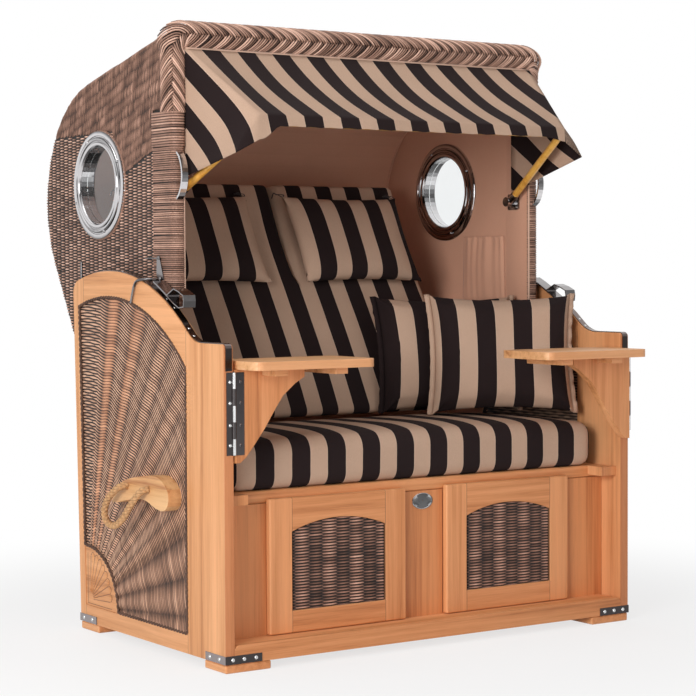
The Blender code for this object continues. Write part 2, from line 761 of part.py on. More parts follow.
def build_corner_plate(name, side, front, base):
    """An L of steel round the corner, on the frame's outer side and its end."""
    inner_x = side * (HALF_WIDTH + GAP)
    outer_x = inner_x + side * PLATE_THICKNESS
    tip_x = side * (HALF_WIDTH - PLATE_FRONT_LENGTH)
    end_y = -GAP if front else rear_edge_y(PLATE_LOW + PLATE_HEIGHT) + GAP
    way = -1 if front else 1
    far_y = end_y + way * PLATE_THICKNESS
    side_y = end_y - way * PLATE_SIDE_LENGTH
    outline = [(outer_x, far_y), (tip_x, far_y), (tip_x, end_y), (inner_x, end_y), (inner_x, side_y),
               (outer_x, side_y)]
    prism(name + "_corner_plate", outline, "z", PLATE_LOW, PLATE_LOW + PLATE_HEIGHT, "steel", base)


def build_carcass(base):
    reach = INNER_HALF - GAP
    radius = SILL_CORNER_RADIUS
    sill = [(-reach, FRAME_BOTTOM), (reach, FRAME_BOTTOM)]
    sill += arc((reach - radius, SILL_TOP - radius), radius, 0, math.pi / 2, SMALL_ARC_STEPS)
    sill += arc((-reach + radius, SILL_TOP - radius), radius, math.pi / 2, math.pi, SMALL_ARC_STEPS)
    prism("front_sill", sill, "y", 0, SILL_DEPTH, "teak", base)

    slot = FOOTREST_BOX_WIDTH / 2 + FOOTREST_SLOT_PLAY
    panel = [(-reach, FRAME_BOTTOM), (reach, FRAME_BOTTOM), (reach, PANEL_TOP)]
    for centre in (FOOTREST_CENTRE, -FOOTREST_CENTRE):
        panel += [(centre + slot, PANEL_TOP), (centre + slot, FLOOR_TOP), (centre - slot, FLOOR_TOP),
                  (centre - slot, PANEL_TOP)]
    panel += [(-reach, PANEL_TOP)]
    panel_rear = PANEL_FRONT + PANEL_THICKNESS
    prism("front_panel", panel, "y", PANEL_FRONT, panel_rear, "teak", base)

    rail_rear = PANEL_FRONT + SEAT_RAIL_DEPTH
    rail = box("seat_rail", (-reach, PANEL_FRONT, PANEL_TOP + GAP), (reach, rail_rear, DECK_TOP), "teak", base)
    round_edges(rail, EDGE_ROUNDING, 1)
    deck_low = DECK_TOP - DECK_THICKNESS
    box("seat_deck", (-reach, rail_rear + GAP, deck_low), (reach, DECK_REAR, DECK_TOP), "teak", base)

    floor_front = panel_rear + GAP
    back_front = BASE_DEPTH - BACK_PANEL_THICKNESS
    floor = box("base_floor", (-reach, floor_front, FLOOR_TOP - FLOOR_THICKNESS),
                (reach, back_front - GAP, FLOOR_TOP), "teak", base)
    half = DIVIDER_THICKNESS / 2
    divider = box("divider", (-half, floor_front, FLOOR_TOP - FLOOR_THICKNESS / 2),
                  (half, DECK_REAR, PANEL_TOP), "teak", base)
    post = box("divider_top", (-half, rail_rear + GAP, PANEL_TOP - half), (half, DECK_REAR, deck_low - GAP),
               "teak", base)
    unite(floor, divider, post)
    box("back_panel", (-reach, back_front, FRAME_BOTTOM), (reach, BASE_DEPTH, BACK_PANEL_TOP), "teak", base)


def build_seat_cushion(base):
    depth = SEAT_CUSHION_REAR - SEAT_CUSHION_FRONT
    size = (SEAT_CUSHION_WIDTH, depth, SEAT_CUSHION_THICKNESS)
    middle_y = (SEAT_CUSHION_FRONT + SEAT_CUSHION_REAR) / 2
    middle_z = DECK_TOP + GAP + SEAT_CUSHION_THICKNESS / 2

    def shape(p):
        u = 2 * p.x / size[0]
        v = 2 * p.y / size[1]
        lift = (p.z / size[2] + 0.5) * SEAT_CUSHION_CROWN * (1 - u ** 4) * (1 - v ** 4)
        across = p.x - SEAT_CUSHION_DRAW_IN * u * abs(u) ** 6 * (1 - v * v)
        along = p.y - SEAT_CUSHION_DRAW_IN * v * abs(v) ** 6 * (1 - u * u)
        return across, middle_y + along, middle_z + p.z + lift

    box_cushion("seat_cushion", size, SEAT_CUSHION_ROUNDING, (12, 7, 1), shape, "stripe", base)


def build_throw_pillow(name, centre, yaw, lean, base):
    size = (THROW_PILLOW_WIDTH, THROW_PILLOW_HEIGHT, THROW_PILLOW_THICKNESS)
    floor = DECK_TOP + SEAT_CUSHION_THICKNESS + SEAT_CUSHION_CROWN - THROW_PILLOW_SETTLING
    turn = Matrix.Rotation(-yaw, 3, "Z") @ Matrix.Rotation(-lean, 3, "X")
    foot = THROW_PILLOW_HEIGHT / 2 + PILLOW_SEAM_THICKNESS * math.sin(lean)

    def place(p):
        turned_point = turn @ (p + Vector((0, 0, foot)))
        return turned_point + Vector((centre[0], centre[1], floor))

    pillow(name, size, PILLOW_SEAM_THICKNESS, THROW_PILLOW_DRAW_IN, place, "stripe", base)


# Hood

def tangent_point(outside, centre, radius, side):
    """Where a line from a point touches a circle, on the given side of it."""
    way = Vector(centre) - Vector(outside)
    length = math.sqrt(way.length ** 2 - radius ** 2)
    angle = math.atan2(way.y, way.x) + side * math.asin(radius / way.length)
    return outside[0] + length * math.cos(angle), outside[1] + length * math.sin(angle)


def hood_profile(inset):
    """Roof, bow and back of the hood as an open line from the rim to the foot, moved inwards."""
    rim = (RIM_Y, HOOD_HEIGHT - ROOF_DROP_AT_RIM)
    foot = (HOOD_FOOT_Y, HOOD_FOOT_Z)
    centre = (BOW_CENTRE_Y, BOW_CENTRE_Z)
    roof_end = tangent_point(rim, centre, BOW_RADIUS, 1)
    back_start = tangent_point(foot, centre, BOW_RADIUS, -1)
    start = math.atan2(roof_end[1] - centre[1], roof_end[0] - centre[0])
    end = math.atan2(back_start[1] - centre[1], back_start[0] - centre[0])
    roof_normal = Vector((-math.cos(start), -math.sin(start))) * inset
    back_normal = Vector((-math.cos(end), -math.sin(end))) * inset
    bow = arc(centre, BOW_RADIUS - inset, start, end)
    return [tuple(Vector(rim) + roof_normal)] + bow + [tuple(Vector(foot) + back_normal)]


def skin_outline(inset):
    """Side view of a hood skin: roof, bow, back, then the lower edge of its side wall."""
    inner_foot = hood_profile(SHELL_THICKNESS + LINING_THICKNESS + GAP)[-1]
    return hood_profile(inset) + [inner_foot, (POST_REAR + GAP, POST_FOOT), (RIM_Y, POST_FOOT)]


def build_skin(name, half, thickness, inset, material, hood):
    """A bent sheet with roof, back and two side walls, open at the front and below."""
    skin = prism(name, skin_outline(inset), "x", -half, half, material, hood)
    if not inset:
        round_edges(skin, SHELL_THICKNESS / 2)
    line = hood_profile(inset + thickness)
    roof_way = Vector(line[0]) - Vector(line[1])
    ahead = Vector(line[0]) + roof_way
    foot = Vector(line[-1])
    down = (foot - Vector(line[-2])).normalized()
    below = foot + down * 2 * PORTHOLE_FLANGE_RADIUS
    hollow = [tuple(ahead)] + line[1:] + [tuple(below), (ahead.x, below.y)]
    front = [(ahead.x, FRAME_BOTTOM), (POST_REAR + GAP, FRAME_BOTTOM), (POST_REAR + GAP, RIM_LOW),
             (RIM_REAR + GAP, RIM_LOW), (RIM_REAR + GAP, HOOD_HEIGHT + RIM_HEIGHT), (ahead.x, HOOD_HEIGHT + RIM_HEIGHT)]
    reach = HOOD_HALF + OVERRUN
    subtract(skin, prism(name + "_hollow", hollow, "x", thickness - half, half - thickness, material, hood),
             prism(name + "_front", front, "x", -reach, reach, material, hood))
    return skin


def build_shell(hood):
    shell = build_skin("hood_shell", HOOD_HALF, SHELL_THICKNESS, 0, "wicker", hood)
    lining = build_skin("hood_lining", LINING_HALF, LINING_THICKNESS, SHELL_THICKNESS + GAP, "lining", hood)
    radius = PORTHOLE_BORE_RADIUS + PORTHOLE_TUBE_WALL + GAP
    reach = HOOD_HALF + OVERRUN
    for skin in (shell, lining):
        port = rod(skin.name + "_ports", (-reach, PORTHOLE_Y, PORTHOLE_Z), (reach, PORTHOLE_Y, PORTHOLE_Z),
                   radius, "steel", hood, 2 * ROUND_SIDES)
        subtract(skin, port)


def build_front_frame(hood):
    """Two posts and the rim bar over them, one wrapped frame."""
    inner = POST_INNER_HALF
    corner_x = HOOD_HALF - RIM_CORNER_RADIUS
    corner_z = HOOD_HEIGHT - RIM_CORNER_RADIUS
    quarter = math.pi / 2
    outline = [(-HOOD_HALF, POST_FOOT), (-inner, POST_FOOT), (-inner, RIM_LOW), (inner, RIM_LOW),
               (inner, POST_FOOT), (HOOD_HALF, POST_FOOT)]
    outline += arc((corner_x, corner_z), RIM_CORNER_RADIUS, 0, quarter, SMALL_ARC_STEPS)
    outline += arc((-corner_x, corner_z), RIM_CORNER_RADIUS, quarter, 2 * quarter, SMALL_ARC_STEPS)
    frame = prism("hood_front_frame", outline, "y", RIM_Y, POST_REAR, "wicker", hood)
    over = HOOD_HALF + OVERRUN
    high = HOOD_HEIGHT + OVERRUN
    notch = box("rim_notch", (-over, RIM_REAR, RIM_LOW - GAP), (over, POST_REAR + OVERRUN, high), "wicker", hood)
    subtract(frame, notch)
    round_edges(frame, EDGE_ROUNDING, 1)


def build_porthole(side_name, side, hood):
    bore = PORTHOLE_BORE_RADIUS
    tube = bore + PORTHOLE_TUBE_WALL
    flange = PORTHOLE_FLANGE_RADIUS
    thick = PORTHOLE_FLANGE_THICKNESS
    outside = HOOD_HALF + GAP
    inside = LINING_INNER_HALF - GAP
    lip = thick / 2
    profile = [(inside - thick, bore), (inside - thick, flange - lip), (inside - lip, flange), (inside, flange),
               (inside, tube), (outside, tube), (outside, flange), (outside + lip, flange),
               (outside + thick, flange - lip), (outside + thick, bore)]
    ring = turned(side_name + "_porthole_ring", profile, (PORTHOLE_Y, PORTHOLE_Z), side, "steel", hood,
                  2 * ROUND_SIDES)
    middle = (outside + inside) / 2
    half = GLASS_THICKNESS / 2
    glass_radius = bore * math.cos(math.pi / (2 * ROUND_SIDES)) - GAP
    rod(side_name + "_porthole_glass", (side * (middle - half), PORTHOLE_Y, PORTHOLE_Z),
        (side * (middle + half), PORTHOLE_Y, PORTHOLE_Z), glass_radius, "glass", hood, 2 * ROUND_SIDES)
    return ring


def build_grab_handle(side_name, side, hood):
    """A bowed bar on the front of the post, its two ends on the post's face."""
    x = side * (HOOD_HALF - POST_WIDTH / 2)
    face = RIM_Y - GAP
    route = []
    for i in range(ARC_STEPS + 1):
        t = i / ARC_STEPS
        route.append((face - HANDLE_REACH * math.sin(math.pi * t) ** 0.6, HANDLE_FOOT_Z + HANDLE_LENGTH * t))
    outer = shifted(route, HANDLE_THICKNESS / 2, closed=False)
    inner = shifted(route, -HANDLE_THICKNESS / 2, closed=False)
    outline = [(min(y, face), z) for y, z in outer + inner[::-1]]
    half = HANDLE_WIDTH / 2
    prism(side_name + "_grab_handle", outline, "x", x - half, x + half, "steel", hood, math.radians(40))


def backrest_line(behind):
    """The backrest in (y, z) from foot to top, moved back: level at its foot, squarely higher up."""
    points = [(BACKREST_FOOT_Y, BACKREST_FOOT_Z), (BACKREST_LUMBAR_Y, BACKREST_LUMBAR_Z),
              (BACKREST_BEND_Y, BACKREST_BEND_Z), (BACKREST_TOP_Y, BACKREST_TOP_Z)]
    line = [Vector(p) for p in smooth_line(points, 4)]
    moved = []
    for i, here in enumerate(line):
        along = (line[min(i + 1, len(line) - 1)] - line[max(i - 1, 0)]).normalized()
        square = Vector((along.y, -along.x))
        level = Vector((1 / along.y, 0))
        foot_share = max(0, 1 - 2 * i / len(line))
        moved.append(here + square.lerp(level, foot_share) * behind)
    return moved


def backrest_point(share, behind):
    line = backrest_line(behind)
    place = share * (len(line) - 1)
    i = min(int(place), len(line) - 2)
    return line[i].lerp(line[i + 1], place - i)


def backrest_at(z):
    line = backrest_line(0)
    for low, high in zip(line, line[1:]):
        if low.y <= z <= high.y:
            return low.lerp(high, (z - low.y) / (high.y - low.y))
    return line[-1]


def build_backrest(hood):
    line = backrest_line(0)
    length = sum((two - one).length for one, two in zip(line, line[1:]))
    size = (BACKREST_WIDTH, BACKREST_CUSHION_THICKNESS, length)
    counts = (10, 1, 7)
    shares = [z / length + 0.5 for z in rounded_grid(length, BACKREST_CUSHION_ROUNDING, counts[2])]
    near = BACKREST_CUSHION_THICKNESS + GAP
    far = near + BACK_BOARD_THICKNESS
    outline = [backrest_point(share, near) for share in shares]
    outline += [backrest_point(share, far) for share in reversed(shares)]
    reach = LINING_INNER_HALF - GAP
    board = prism("back_board", [tuple(p) for p in outline], "x", -reach, reach, "lining", hood)
    narrow = BACKREST_WIDTH / 2 - OVERRUN
    for side_name, side in SIDES.items():
        low, high = between(side * narrow, side * HOOD_HALF)
        subtract(board, box(side_name + "_shoulder", (low, BACKREST_FOOT_Y, BACK_BOARD_SHOULDER_Z),
                            (high, BOW_CENTRE_Y + BOW_RADIUS, HOOD_HEIGHT), "lining", hood))

    def shape(p):
        u = 2 * p.x / size[0]
        w = 2 * p.z / size[2]
        front = 0.5 - p.y / size[1]
        crown = front * BACKREST_CUSHION_CROWN * (1 - w ** 4) * (1 - u ** 6)
        y, z = backrest_point(p.z / size[2] + 0.5, p.y + size[1] / 2 - crown)
        return p.x, y, z

    cushion = box_cushion("back_cushion", size, BACKREST_CUSHION_ROUNDING, counts, shape, "stripe", hood)
    half = BACKREST_SPLIT_WIDTH / 2
    subtract(cushion, box("split", (-half, BACKREST_FOOT_Y, BACKREST_SPLIT_Z),
                          (half, BOW_CENTRE_Y + BOW_RADIUS, HOOD_HEIGHT), "stripe", hood))


def build_neck_pillow(side_name, hood):
    size = (NECK_PILLOW_WIDTH, NECK_PILLOW_HEIGHT, NECK_PILLOW_THICKNESS)
    low = backrest_at(NECK_PILLOW_LOW_Z)
    high = backrest_at(NECK_PILLOW_HIGH_Z)
    along = (high - low).normalized()
    out = Vector((-along.y, along.x))
    centre = (low + high) / 2 + out * NECK_PILLOW_STAND_OFF[side_name]
    middle_x = SIDES[side_name] * (NECK_PILLOW_EDGE[side_name] - NECK_PILLOW_WIDTH / 2)

    def place(p):
        spot = centre - out * p.y + along * p.z
        return middle_x + p.x, spot.x, spot.y

    pillow(side_name + "_neck_pillow", size, PILLOW_SEAM_THICKNESS, THROW_PILLOW_DRAW_IN, place, "stripe",
           hood, (12, 8))


def build_pivot_arm(side_name, side, hood):
    """A flat steel arm on the hood's side, with the pin that turns in the side frame."""
    inner = HOOD_HALF + GAP
    outer = inner + PIVOT_ARM_THICKNESS
    low = Vector((PIVOT_Y, PIVOT_Z))
    high = Vector((PIVOT_ARM_TOP_Y, PIVOT_ARM_TOP_Z))
    way = math.atan2((high - low).y, (high - low).x)
    half = PIVOT_ARM_WIDTH / 2
    quarter = math.pi / 2
    outline = arc(low, half, way + quarter, way + 3 * quarter, 10) + arc(high, half, way - quarter, way + quarter, 10)
    arm = prism(side_name + "_pivot_arm", outline, "x", *between(side * inner, side * outer), "steel", hood)
    centre = (PIVOT_Y, PIVOT_Z)
    collar = rod(side_name + "_collar", (side * (inner + GAP), *centre), (side * (INNER_HALF - RUNNING_GAP), *centre),
                 PIVOT_COLLAR_RADIUS, "steel", hood, ROUND_SIDES)
    pin_end = INNER_HALF + PIVOT_RAIL_THICKNESS - GAP
    pin = rod(side_name + "_pin", (side * (inner + GAP), *centre), (side * pin_end, *centre), PIVOT_PIN_RADIUS,
              "steel", hood)
    unite(arm, collar, pin)


# Along the reach from the pin, then down in the loop's height
LATCH_LOOP_SHARES = [(0.413, 0.023), (0.639, 0.278), (0.847, 0.442), (1.003, 0.315), (1.0, 0.0), (0.967, -0.283),
                     (0.801, -0.409), (0.648, -0.461), (0.536, -0.227)]
LATCH_STRAP_SHARES = [(0.466, 0.074), (0.176, -0.236), (-0.021, -0.416), (-0.013, -0.499), (0.184, -0.320),
                      (0.474, -0.014)]
LATCH_PLATE_SHARES = [(0.046, 0.106), (-0.033, 0.146), (-0.058, -0.090), (-0.033, -0.470), (0.185, -0.310),
                      (0.216, -0.187)]


def latch_outline(shares):
    way = Vector((math.cos(LATCH_ANGLE), math.sin(LATCH_ANGLE)))
    down = Vector((-way.y, way.x))
    pin = Vector((LATCH_PIN_Y, LATCH_PIN_Z))
    return [tuple(pin + way * LATCH_LOOP_REACH * along + down * LATCH_LOOP_HEIGHT * low) for along, low in shares]


def build_latch(side_name, side, latch):
    """A wide strap with a loop at its end, over the arm's rail. A plate on the hood's side holds it by a pin."""
    near = HOOD_HALF + GAP
    plate_in = near + LATCH_STRAP_THICKNESS
    plate_out = plate_in + LATCH_STRAP_THICKNESS
    strap_in = (plate_in + plate_out) / 2
    low, high = between(side * strap_in, side * (strap_in + LATCH_STRAP_WIDTH))
    loop = latch_outline(LATCH_LOOP_SHARES)
    ring = prism(side_name + "_latch_loop", loop, "x", low, high, "steel", latch)
    inside = shifted(loop, LATCH_STRAP_THICKNESS)
    subtract(ring, prism(side_name + "_loop_hole", inside, "x", low - OVERRUN, high + OVERRUN, "steel", latch))
    strap = prism(side_name + "_latch_strap", latch_outline(LATCH_STRAP_SHARES), "x", low, high, "steel", latch)
    plate = prism(side_name + "_latch_plate", latch_outline(LATCH_PLATE_SHARES), "x",
                  *between(side * plate_in, side * plate_out), "steel", latch)
    start = (LATCH_PIN_Y, LATCH_PIN_Z)
    pin = rod(side_name + "_latch_pin", (side * near, *start), (side * (plate_out + LATCH_PIN_RADIUS), *start),
              LATCH_PIN_RADIUS, "steel", latch)
    unite(ring, strap, plate, pin)


# Awning

def build_awning_frame(awning):
    pivot = Vector((0, AWNING_PIVOT_Y, AWNING_PIVOT_Z))
    bar = Vector((0, AWNING_BAR_Y, AWNING_BAR_Z))
    across = Vector((1, 0, 0))
    frame = rod("awning_frame", bar - across * (AWNING_BAR_HALF + AWNING_BAR_RADIUS),
                bar + across * (AWNING_BAR_HALF + AWNING_BAR_RADIUS), AWNING_BAR_RADIUS, "arm_wood", awning)
    boss_end = POST_INNER_HALF - GAP
    for side in SIDES.values():
        low = pivot + across * side * AWNING_ARM_X
        high = bar + across * side * AWNING_BAR_HALF
        arm = rod("awning_arm", low, high, AWNING_ARM_RADIUS, "arm_wood", awning)
        boss = rod("awning_boss", pivot + across * side * (boss_end - AWNING_BOSS_LENGTH),
                   pivot + across * side * boss_end, AWNING_BOSS_RADIUS, "arm_wood", awning)
        unite(frame, arm, boss)


def build_awning_cloth(hood):
    """Roof sheet, hem flap and two side flaps, as one sheet with thickness."""
    columns, rows, flap_rows, side_rows = 16, 6, 2, 4
    top_y = RIM_Y - CLOTH_THICKNESS
    top_z = RIM_LOW - GAP - CLOTH_THICKNESS
    points = []
    faces = []

    def edge_half(t):
        return CLOTH_HALF_AT_RIM + (CLOTH_HALF_AT_HEM - CLOTH_HALF_AT_RIM) * t

    def roof(s, t):
        wave = CLOTH_FOLD * math.sin(4 * math.pi * s) * t
        y = top_y + (CLOTH_HEM_Y - top_y) * t
        z = top_z + (CLOTH_HEM_TOP - top_z) * t - CLOTH_SAG * math.sin(math.pi * t) * math.sin(math.pi * s)
        return (2 * s - 1) * edge_half(t), y + wave, z

    grid = {}
    for j in range(rows + 1):
        for i in range(columns + 1):
            grid[i, j] = len(points)
            points.append(roof(i / columns, j / rows))
    for j in range(1, flap_rows + 1):
        for i in range(columns + 1):
            x, y, z = roof(i / columns, 1)
            grid[i, rows + j] = len(points)
            points.append((x, y, z - CLOTH_HEM_DROP * j / flap_rows))
    for j in range(rows + flap_rows):
        for i in range(columns):
            faces.append((grid[i, j], grid[i + 1, j], grid[i + 1, j + 1], grid[i, j + 1]))
    for side, column in ((-1, 0), (1, columns)):
        flap = {}
        for j in range(-1, rows + 1):
            t = max(j, 0) / rows
            x, y, z = points[grid[column, max(j, 0)]]
            if j < 0:
                y = CLOTH_SIDE_BACK_Y
                points.append((x, y, z))
                grid[column, j] = len(points) - 1
            low_x = side * (CLOTH_HALF_AT_RIM + (CLOTH_HALF_AT_TIP - CLOTH_HALF_AT_RIM) * t)
            low_z = CLOTH_SIDE_BACK_Z + (CLOTH_SIDE_TIP_Z - CLOTH_SIDE_BACK_Z) * t ** 2
            flap[0, j] = grid[column, j]
            for k in range(1, side_rows + 1):
                share = k / side_rows
                flap[k, j] = len(points)
                points.append((x + (low_x - x) * share, y, z + (low_z - z) * share))
        for j in range(-1, rows):
            for k in range(side_rows):
                faces.append((flap[k, j], flap[k + 1, j], flap[k + 1, j + 1], flap[k, j + 1]))
    cloth = add_mesh("awning_cloth", points, faces, "stripe", hood, math.radians(50))
    step = cloth.modifiers.new("thickness", "SOLIDIFY")
    step.thickness = CLOTH_THICKNESS
    step.offset = 0


# Side tables

def bracket_outline(start, way, top):
    """The wing under a table: straight at the hinge and under the top, curved on its free edge."""
    width_shares = (1.0, 0.86, 0.68, 0.56, 0.42, 0.28, 0.15)
    height_shares = (0.90, 0.83, 0.70, 0.55, 0.36, 0.20, 0.06)
    height = top - BRACKET_TIP_Z
    reach = BRACKET_LENGTH
    outline = [(start, top), (start + way * reach, top)]
    outline += [(start + way * reach * w, BRACKET_TIP_Z + height * h)
                for w, h in zip(width_shares, height_shares)]
    return outline + [(start + way * BRACKET_TIP_WIDTH / 2, BRACKET_TIP_Z), (start, BRACKET_TIP_Z)]


def rounded_rectangle(low, high, radius):
    quarter = math.pi / 2
    outline = arc((high[0] - radius, high[1] - radius), radius, 0, quarter, SMALL_ARC_STEPS)
    outline += arc((low[0] + radius, high[1] - radius), radius, quarter, 2 * quarter, SMALL_ARC_STEPS)
    outline += arc((low[0] + radius, low[1] + radius), radius, 2 * quarter, 3 * quarter, SMALL_ARC_STEPS)
    outline += arc((high[0] - radius, low[1] + radius), radius, 3 * quarter, 4 * quarter, SMALL_ARC_STEPS)
    return outline


def build_table(name, hinge_x, way, start, wing_start, bracket_front, table):
    """A table whose wing runs from the hinge along X, way being +1 or -1."""
    top_low = TABLE_TOP_Z - TABLE_THICKNESS
    near_x = hinge_x + way * start
    low_x, high_x = between(near_x, near_x + way * TABLE_LENGTH)
    half = TABLE_DEPTH / 2
    middle_y = bracket_front + BRACKET_THICKNESS / 2
    board = prism(name + "_table_top", rounded_rectangle((low_x, middle_y - half), (high_x, middle_y + half),
                                                         TABLE_CORNER_RADIUS), "z", top_low, TABLE_TOP_Z,
                  "teak", table)
    battens = []
    for place in (1, 3):
        centre = near_x + way * TABLE_LENGTH * place / 4
        reach = BATTEN_LENGTH / 2
        battens.append(box(name + "_batten", (centre - BATTEN_WIDTH / 2, middle_y - reach, top_low - BATTEN_HEIGHT),
                           (centre + BATTEN_WIDTH / 2, middle_y + reach, top_low + GAP), "teak", table))
    bracket_top = top_low - GAP
    bracket_rear = bracket_front + BRACKET_THICKNESS
    wing = prism(name + "_table_bracket", bracket_outline(hinge_x + way * wing_start, way, bracket_top), "y",
                 bracket_front, bracket_rear, "teak", table)
    knuckle = hinge_x + way * (HINGE_BARREL_RADIUS + RUNNING_GAP)
    if wing_start > HINGE_LEAF_WIDTH / 2:
        low_x, high_x = between(knuckle, hinge_x + way * (wing_start + OVERRUN))
        tongue = box(name + "_tongue", (low_x, bracket_rear - HINGE_TONGUE_THICKNESS, HINGE_LOW),
                     (high_x, bracket_rear, HINGE_HIGH), "teak", table)
        unite(wing, tongue)
    notches = []
    for place in (1, 3):
        centre = near_x + way * TABLE_LENGTH * place / 4
        wide = BATTEN_WIDTH / 2 + GAP
        notches.append(box(name + "_notch", (centre - wide, bracket_front - OVERRUN, top_low - BATTEN_HEIGHT - GAP),
                           (centre + wide, bracket_front + BRACKET_THICKNESS + OVERRUN, TABLE_TOP_Z), "teak", table))
    unite(board, *battens)
    subtract(wing, *notches)
    return wing


def build_hinge_leaf(name, low_x, high_x, barrel_x, parent):
    """The leaf screwed to the post, with the hinge's barrel on its edge."""
    thick = HINGE_LEAF_THICKNESS
    leaf = box(name + "_hinge_leaf", (low_x, -GAP - thick, HINGE_LOW), (high_x, -GAP, HINGE_HIGH), "steel", parent)
    barrel = rod(name + "_barrel", (barrel_x, -HINGE_BARREL_RADIUS - GAP, HINGE_LOW),
                 (barrel_x, -HINGE_BARREL_RADIUS - GAP, HINGE_HIGH), HINGE_BARREL_RADIUS, "steel", parent)
    unite(leaf, barrel)


def build_tables(base, pivots):
    barrel_y = -HINGE_BARREL_RADIUS - GAP
    left_x = -INNER_HALF
    right_x = HALF_WIDTH
    build_hinge_leaf("left", left_x - HINGE_LEAF_WIDTH, left_x, left_x, base)
    build_hinge_leaf("right", right_x - HINGE_LEAF_WIDTH, right_x, right_x, base)
    left_wing_start = HINGE_BARREL_RADIUS + RUNNING_GAP
    build_table("left", left_x, 1, LEFT_TABLE_START, left_wing_start, barrel_y, pivots["left"])
    plate_back = -GAP - HINGE_LEAF_THICKNESS - RUNNING_GAP
    build_table("right", right_x, -1, RIGHT_TABLE_START, RIGHT_BRACKET_START, plate_back - BRACKET_THICKNESS,
                pivots["right"])


# Footrests

def arch_outline(centre, grow):
    """The arched opening of a footrest's front, in (x, z), made larger by grow."""
    half = FOOTREST_WIDTH / 2 - FOOTREST_STILE + grow
    low = FLOOR_TOP + GAP + FOOTREST_BOTTOM_RAIL - grow
    spring = FLOOR_TOP + FOOTREST_ARCH_SPRING
    rise = FOOTREST_ARCH_RISE + grow
    radius = (half ** 2 + rise ** 2) / (2 * rise)
    reach = math.asin(half / radius)
    quarter = math.pi / 2
    crown = arc((centre, spring + rise - radius), radius, quarter - reach, quarter + reach)
    return [(centre - half, low), (centre + half, low)] + crown


def build_footrest(side_name, side, slide):
    centre = side * FOOTREST_CENTRE
    half = FOOTREST_WIDTH / 2
    low = FLOOR_TOP + GAP
    front = PANEL_FRONT - FOOTREST_PROUD
    rear = PANEL_FRONT - GAP
    face = box(side_name + "_footrest_front", (centre - half, front, low), (centre + half, rear, low + FOOTREST_HEIGHT),
               "teak", slide)
    round_edges(face, EDGE_ROUNDING, 2)
    subtract(face, prism(side_name + "_arch", arch_outline(centre, 0), "y", front - OVERRUN, rear + OVERRUN,
                         "teak", slide))
    inset = (FOOTREST_PROUD - GAP - WICKER_THICKNESS) / 2
    prism(side_name + "_footrest_wicker", arch_outline(centre, -GAP), "y", front + inset,
          front + inset + WICKER_THICKNESS, "wicker", slide)

    box_half = FOOTREST_BOX_WIDTH / 2
    board = FOOTREST_BOARD
    top = low + FOOTREST_BOX_HEIGHT
    body = box(side_name + "_footrest_box", (centre - box_half, PANEL_FRONT, low),
               (centre + box_half, PANEL_FRONT + FOOTREST_BOX_DEPTH, top), "teak", slide)
    hollow = box(side_name + "_box_hollow", (centre - box_half + board, PANEL_FRONT + board, low - OVERRUN),
                 (centre + box_half - board, PANEL_FRONT + FOOTREST_BOX_DEPTH - board, top - board), "teak", slide)
    subtract(body, hollow)


# Assembly

def centre_on_footprint(base):
    """Moves the chair along Y so that the origin is under the middle of its box."""
    bpy.context.view_layer.update()
    graph = bpy.context.evaluated_depsgraph_get()
    low, high = math.inf, -math.inf
    for obj in bpy.context.scene.objects:
        if obj.type == "EMPTY" or obj.hide_render or obj.name.endswith("_carry_rope"):
            continue
        for corner in obj.evaluated_get(graph).bound_box:
            y = (obj.matrix_world @ Vector(corner)).y
            low, high = min(low, y), max(high, y)
    base.location.y -= (low + high) / 2
    bpy.context.view_layer.update()


def main():
    clear_scene()
    base = add_empty("base", (0, 0, 0))
    hood = add_empty("hood", (0, PIVOT_Y, PIVOT_Z), base)
    awning = add_empty("awning", (0, AWNING_PIVOT_Y, AWNING_PIVOT_Z), hood)
    barrel_y = -HINGE_BARREL_RADIUS - GAP
    tables = {"left": add_empty("left_table", (-INNER_HALF, barrel_y, TABLE_TOP_Z), base),
              "right": add_empty("right_table", (HALF_WIDTH, barrel_y, TABLE_TOP_Z), base)}
    for side_name, side in SIDES.items():
        build_side(side_name, side, base)
        build_arm_rail(side_name, side, base)
        build_carry_handle(side_name, side, base)
        build_foot("front_" + side_name, side, True, base)
        build_foot("rear_" + side_name, side, False, base)
        build_corner_plate("front_" + side_name, side, True, base)
        build_corner_plate("rear_" + side_name, side, False, base)
        slide = add_empty(side_name + "_footrest", (side * FOOTREST_CENTRE, PANEL_FRONT, FLOOR_TOP), base)
        build_footrest(side_name, side, slide)
        build_porthole(side_name, side, hood)
        build_grab_handle(side_name, side, hood)
        build_neck_pillow(side_name, hood)
        build_pivot_arm(side_name, side, hood)
        latch = add_empty(side_name + "_latch", (side * HOOD_HALF, LATCH_PIN_Y, LATCH_PIN_Z), hood)
        build_latch(side_name, side, latch)
    build_carcass(base)
    build_seat_cushion(base)
    build_throw_pillow("front_throw_pillow", (FRONT_PILLOW_X, FRONT_PILLOW_Y), FRONT_PILLOW_YAW,
                       FRONT_PILLOW_LEAN, base)
    build_throw_pillow("back_throw_pillow", (BACK_PILLOW_X, BACK_PILLOW_Y), BACK_PILLOW_YAW,
                       BACK_PILLOW_LEAN, base)
    build_shell(hood)
    build_front_frame(hood)
    build_backrest(hood)
    build_awning_frame(awning)
    build_awning_cloth(hood)
    build_tables(base, tables)
    centre_on_footprint(base)
    for empty in [base, hood, awning] + list(tables.values()):
        print(empty.name, [round(v, 5) for v in empty.matrix_world.translation])


main()
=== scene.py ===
"""The looks of a two-seat hooded beach chair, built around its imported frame. Metres, +Z up.

Places are counted as in the chair's drawing, with y from the front face of the side frames. SHIFT_Y
moves them into the frame when a mesh is made."""

import math

import bpy
import numpy as np
from mathutils import Matrix, Vector, noise
from mathutils.bvhtree import BVHTree


